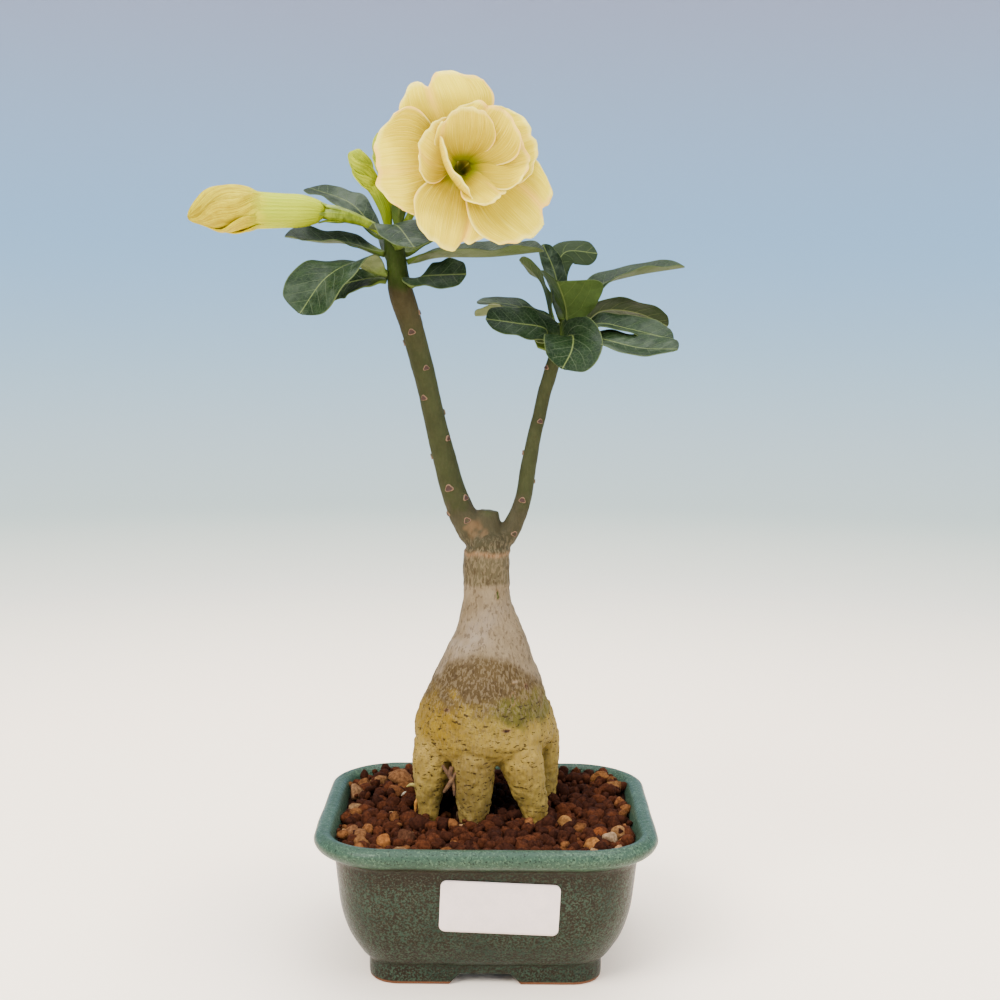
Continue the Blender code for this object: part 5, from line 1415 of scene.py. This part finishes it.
for colour_name, (colour_value, colour_text) in COLOUR_DEFAULTS.items():
    ColourSettings.__annotations__[colour_name] = bpy.props.FloatVectorProperty(
        name=colour_name.replace("_", " ").capitalize(), description=colour_text, default=colour_value,
        size=3, min=0.0, max=1.0, subtype="COLOR")


def number(name, description, default, **limits):
    """A number that a user may change, with its limits and unit."""
    return bpy.props.FloatProperty(name=name, description=description, default=default, **limits)


class SizeSettings(bpy.types.PropertyGroup):
    """Sizes and counts that shape the pieces."""

    pot_corner_steps: bpy.props.IntProperty(
        name="Pot corner steps", description="Faces round each corner of the pot", default=22, min=6, max=40)
    granule_spacing: number(
        "Granule spacing", "Distance between soil granules, in millimetres", 5.2, min=3.0, max=10.0)
    skin_voxel: number("Skin detail", "Mesh size of the plant body, in millimetres", 0.62, min=0.4, max=2.0)
    leaf_crinkle: number(
        "Leaf crinkle", "Strength of the leaf waves and vein furrows", 1.0, min=0.0, max=3.0,
        subtype="FACTOR")
    label_width: number("Label width", "Width of the blank label, in millimetres", 44.0, min=10.0, max=60.0)
    label_height: number("Label height", "Height of the blank label, in millimetres", 20.5, min=5.0, max=30.0)
    camera_distance: number(
        "Camera distance", "Camera from the pot's middle, in metres", 0.6184, min=0.2, max=3.0, unit="LENGTH")
    camera_height: number(
        "Camera height", "Height of the camera, in metres", 0.2501, min=0.0, max=2.0, unit="LENGTH")
    camera_pitch: number(
        "Camera pitch", "Angle that the camera looks down", math.radians(6.5), subtype="ANGLE")
    camera_roll: number("Camera roll", "Roll of the camera", math.radians(0.43), subtype="ANGLE")
    camera_lens: number("Lens", "Focal length on a 36 mm sensor", 57.6, min=10.0, max=200.0)


class RosePiece:
    """What every operator of this add-on shares."""

    bl_options = {"REGISTER", "UNDO"}

    @property
    def sizes(self):
        return bpy.context.scene.rose_sizes


class ROSE_OT_finishes(RosePiece, bpy.types.Operator):
    """Make the node groups that the finishes share"""

    bl_idname = "rose.finishes"
    bl_label = "Shared finishes"

    def execute(self, context):
        make_speck_group()
        make_grain_group()
        return {"FINISHED"}


class ROSE_OT_pot(RosePiece, bpy.types.Operator):
    """Build the glazed pot and its blank label"""

    bl_idname = "rose.pot"
    bl_label = "Pot and label"

    def execute(self, context):
        wall = pot_surface(self.sizes.pot_corner_steps)
        add_piece("pot_body", wall, glaze_material(), "green_glaze", "pot")
        shaded = [LABEL_SHADE * part for part in tone("label")]
        paper = dry_material("label_paper", "label", shaded, 0.45, 160.0)
        blade = label_blade(self.sizes.label_width, self.sizes.label_height)
        add_piece("blank_label", blade, paper, "label_paper", "label")
        return {"FINISHED"}


class ROSE_OT_soil(RosePiece, bpy.types.Operator):
    """Lay the soil: a dark bed, layers of clay granules, and larger stones"""

    bl_idname = "rose.soil"
    bl_label = "Soil"

    def execute(self, context):
        # The bed is mixed 55 % toward SOIL_SHADE: painted shade in the gaps between the granules
        add_piece("soil_bed", soil_bed(), soil_material("dark_soil", 0.55), "clay_granules", "soil")
        clay = soil_material("clay_granules", 0.0)
        for name, spread, sizes, sink, keep, seed in GRANULE_LAYERS:
            layer = granule_layer(self.sizes.granule_spacing * spread, sizes, sink, keep, seed)
            add_piece(name, layer, clay, "clay_granules", "soil")
        add_piece("soil_stones", soil_stones(), clay, "clay_granules", "soil")
        return {"FINISHED"}


class ROSE_OT_body(RosePiece, bpy.types.Operator):
    """Grow the plant body as one skin, with its leaf scars and dried rootlets"""

    bl_idname = "rose.body"
    bl_label = "Plant body"

    def execute(self, context):
        limbs = [tube(CAUDEX, 90, 96), tube(STUB, 12, 48)]
        limbs += [tube(LEFT_BRANCH, 160, 40), tube(RIGHT_BRANCH, 140, 36)]
        limbs += [tube(leg, 50, 48) for leg in ROOT_LEGS]
        body = make_object("plant_skin", join(limbs), skin_material())
        voxel = self.sizes.skin_voxel * MM
        apply_modifier(body, "Grown skin", "REMESH", mode="VOXEL", voxel_size=voxel, use_smooth_shade=True)
        apply_modifier(body, "Soft joints", "SMOOTH", factor=0.5, iterations=4)
        for label, values in skin_zones(body_surface(body)).items():
            add_attribute(body.data, label, values)
        finish_piece(body, "bark", "plant_body")
        scars = join([scar_patch(*scar) for scar in LEAF_SCARS])
        add_piece("leaf_scars", scars, scar_material(), "bark", "plant_body")
        dry = dry_material("dried_root", *DRY_ROOT_TINTS, 0.85, 500.0)
        roots = join([tube(path, 24, 12) for path in ROOTLETS])
        add_piece("root_ends", roots, dry, "dry_root", "dried_rootlets")
        return {"FINISHED"}


class ROSE_OT_leaves(RosePiece, bpy.types.Operator):
    """Shape every leaf, large and young"""

    bl_idname = "rose.leaves"
    bl_label = "Leaves"

    def execute(self, context):
        skin = leaf_material("leaf_skin", "leaf_top")
        seed = LEAF_SEED
        sides = (("left", LEFT_BRANCH, LEFT_LEAVES), ("right", RIGHT_BRANCH, RIGHT_LEAVES))
        for side, branch, leaves in sides:
            for name, (height, heading, rest, *form) in leaves.items():
                seed += 1
                midrib = [*stem_seat(branch, height, heading), *rest]
                blade = leaf_blade(midrib, *form, seed, crinkle=self.sizes.leaf_crinkle)
                add_piece(f"{side}_blade_{name}", blade, skin, "leaf", f"{side}_leaf_{name}")
        fresh = leaf_material("young_leaf_skin", YOUNG_LEAF_TOP)
        for name, (*midrib, width, facing) in YOUNG_LEAVES.items():
            seed += 1
            blade = leaf_blade(midrib, width, facing, facing, 25, 1.05, 0.0, 0.4, seed, 30, 13, 0.3)
            add_piece(f"{name}_blade", blade, fresh, "leaf", name)
        return {"FINISHED"}


class ROSE_OT_flower(RosePiece, bpy.types.Operator):
    """Open the double flower: outer and inner petals, tube, throat and stalk"""

    bl_idname = "rose.flower"
    bl_label = "Flower"

    def execute(self, context):
        outer_skin = petal_material("outer_petal", "petal_root", "petal_middle", "petal_edge")
        inner_skin = petal_material("inner_petal", *INNER_PETAL_TINTS)
        outer = [petal_blade(*petal, index) for index, petal in enumerate(OUTER_PETALS)]
        inner = [petal_blade(*petal, index + 9, INNER_SHIFT) for index, petal in enumerate(INNER_PETALS)]
        add_piece("outer_petals", join(outer), outer_skin, "petal", "bloom")
        add_piece("inner_petals", join([*inner, throat_cup()]), inner_skin, "petal", "bloom")
        green = stalk_material("fresh_stalk", "stalk_light", "stalk_deep")
        tube_skin = stalk_material("corolla_tube_skin", "bud_pale", "bud_green")
        add_piece("corolla_tube", tube(COROLLA_TUBE, 40, 40, UP), tube_skin, "petal", "bloom")
        stalk = stalk_with_sepals(tube(FLOWER_STALK, 30, 20), FLOWER_SEPAL_PATH, FLOWER_SEPAL_REACH, 20, 2.8)
        add_piece("stalk_and_sepals", stalk, green, "stalk", "flower_stalk")
        return {"FINISHED"}


class ROSE_OT_buds(RosePiece, bpy.types.Operator):
    """Shape the large bud with its stalk and the two small buds"""

    bl_idname = "rose.buds"
    bl_label = "Buds"

    def execute(self, context):
        skin = bud_material("bud_skin", 30, "bud_green", "bud_pale", "bud_yellow", "bud_cream", "bud_fold_shade")
        large = rolled_bud(BUD_TUBE, BUD_SHEETS, 0.46, 0.2, 0.7, (0, 0, 1), 22)
        add_piece("rolled_bud", large, skin, "petal", "large_bud")
        green = stalk_material("bud_stalk_skin", "stalk_light", "stalk_deep")
        stalk = stalk_with_sepals(tube(BUD_STALK, 36, 20, UP), BUD_SEPAL_PATH, BUD_SEPAL_REACH, 50, 3.6)
        add_piece("bud_stalk", stalk, green, "stalk", "large_bud_stalk")
        # The small buds' folds take stalk_deep as their painted shade
        small = bud_material(
            "small_bud_skin", 22, "stalk_deep", "stalk_light", "small_bud_green", "bud_pale", "stalk_deep")
        for name, stations in SMALL_BUDS.items():
            bud = rolled_bud(stations, SMALL_BUD_SHEETS, 0.55, 0.4, 0.55, (0, 1, 0), 15)
            add_piece(f"{name}_skin", bud, small, "stalk", name)
        return {"FINISHED"}


def sweep_surface():
    """A round studio sweep in metres: a flat floor that bends up into a wall all round."""
    bend = np.linspace(0, math.pi / 2, 24)[1:]
    distance = np.r_[0.02, np.linspace(0.1, SWEEP_FLAT, 14), SWEEP_FLAT + SWEEP_BEND * np.sin(bend)]
    height = np.r_[np.zeros(15), SWEEP_BEND * (1 - np.cos(bend))]
    distance, height = np.r_[distance, SWEEP_FLAT + SWEEP_BEND], np.r_[height, SWEEP_HEIGHT]
    angle = np.arange(96)[None, :] * TURN / 96
    grid = stacked(distance[:, None] * np.cos(angle), distance[:, None] * np.sin(angle), height[:, None])
    index = np.arange(grid.shape[0] * grid.shape[1]).reshape(grid.shape[:2])
    faces = [*quads(index, closed_columns=True)[:, ::-1].tolist(), index[0].tolist()]
    return (grid.reshape(-1, 3) + ORIGIN * MM).tolist(), faces


def sweep_material():
    """Pale floor that turns slowly into the cooler wall with distance and height, and glows near the pot as
    painted light, though not right under it.
    """
    look = Finish("studio_sweep", Roughness=0.9, Specular_IOR_Level=0.1, Emission_Strength=0.8)
    x, y, z = look.parts(look.place())
    far = look.maths("SQRT", look.plus(look.times(x, x), look.times(y, y)))
    measure = look.line(z, 1.6, far)
    colour = look.mix(look.step(measure, 0.3, 1.6), "floor", "backdrop_low")
    colour = look.mix(look.step(measure, 1.1, 3.0), colour, "backdrop_middle")
    look.feed("Base Color", look.mix(look.step(measure, 2.6, 4.4), colour, "backdrop"))
    # Painted light: the floor glows from a few centimetres round the pot out to about a metre, and not under
    # the pot, so its contact shadow stays
    lit = look.times(look.step(measure, 1.0, 0.35), look.step(measure, 0.03, 0.17))
    look.feed("Emission Color", look.mix(lit, (0.0, 0.0, 0.0), FLOOR_GLOW))
    return look.material


def add_light(name, location, target, size, energy, colour):
    """A square area light that faces a point; places are in metres from the pot's middle."""
    light = bpy.data.lights.new(name, "AREA")
    light.size = size
    light.energy = energy
    light.color = colour
    obj = bpy.data.objects.new(name, light)
    bpy.context.scene.collection.objects.link(obj)
    away = np.array(target, float) - np.array(location, float)
    obj.location = np.array(location) + ORIGIN * MM
    yaw = math.atan2(away[1], away[0])
    pitch = math.atan2(math.hypot(away[0], away[1]), -away[2])
    obj.rotation_euler = (pitch, 0.0, yaw - math.pi / 2)


class ROSE_OT_stage(RosePiece, bpy.types.Operator):
    """Set the pale studio sweep, the soft lights and the camera"""

    bl_idname = "rose.stage"
    bl_label = "Stage"

    def execute(self, context):
        scene, sizes = context.scene, self.sizes
        points, faces = sweep_surface()
        mesh = bpy.data.meshes.new("studio_sweep")
        mesh.from_pydata(points, [], faces)
        mesh.polygons.foreach_set("use_smooth", np.ones(len(mesh.polygons), bool))
        mesh.materials.append(sweep_material())
        sweep = bpy.data.objects.new("studio_sweep", mesh)
        scene.collection.objects.link(sweep)
        for light in LIGHTS:
            add_light(*light)
        scene.world = scene.world or bpy.data.worlds.new("studio_world")
        scene.world.use_nodes = True
        nodes = scene.world.node_tree.nodes
        background = nodes.get("Background") or nodes.new("ShaderNodeBackground")
        background.inputs["Color"].default_value = (*WORLD_COLOUR, 1.0)
        background.inputs["Strength"].default_value = WORLD_STRENGTH
        camera = bpy.data.objects.new("photo_camera", bpy.data.cameras.new("photo_camera"))
        camera.data.lens = sizes.camera_lens
        camera.data.sensor_width = 36.0
        camera.data.clip_end = 20.0
        scene.collection.objects.link(camera)
        x, y, _ = ORIGIN * MM
        camera.location = (x + CAMERA_ASIDE, y - sizes.camera_distance, sizes.camera_height)
        camera.rotation_mode = "ZXY"
        camera.rotation_euler = (math.pi / 2 - sizes.camera_pitch, 0.0, sizes.camera_roll)
        scene.camera = camera
        return {"FINISHED"}


class ROSE_PT_panel(bpy.types.Panel):
    """Lists the pieces of the potted desert rose"""

    bl_label = "Desert rose"
    bl_idname = "ROSE_PT_panel"
    bl_space_type = "VIEW_3D"
    bl_region_type = "UI"
    bl_category = "Desert rose"

    def draw(self, context):
        for operator in OPERATORS:
            self.layout.operator(operator.bl_idname)
        for settings in (context.scene.rose_sizes, context.scene.rose_colours):
            box = self.layout.box()
            for name in type(settings).__annotations__:
                box.prop(settings, name)


OPERATORS = (
    ROSE_OT_finishes, ROSE_OT_stage, ROSE_OT_pot, ROSE_OT_soil, ROSE_OT_body, ROSE_OT_leaves,
    ROSE_OT_flower, ROSE_OT_buds,
)
CLASSES = (ColourSettings, SizeSettings, *OPERATORS, ROSE_PT_panel)


def register():
    """Register every class and the settings on the scene."""
    for cls in CLASSES:
        bpy.utils.register_class(cls)
    bpy.types.Scene.rose_colours = bpy.props.PointerProperty(type=ColourSettings)
    bpy.types.Scene.rose_sizes = bpy.props.PointerProperty(type=SizeSettings)


def unregister():
    """Undo register."""
    del bpy.types.Scene.rose_sizes
    del bpy.types.Scene.rose_colours
    for cls in reversed(CLASSES):
        bpy.utils.unregister_class(cls)


def main():
    """Build everything in order."""
    register()
    bpy.ops.rose.finishes()
    bpy.ops.rose.stage()
    bpy.ops.rose.pot()
    bpy.ops.rose.soil()
    bpy.ops.rose.body()
    bpy.ops.rose.leaves()
    bpy.ops.rose.flower()
    bpy.ops.rose.buds()


if __name__ == "__main__":
    main()
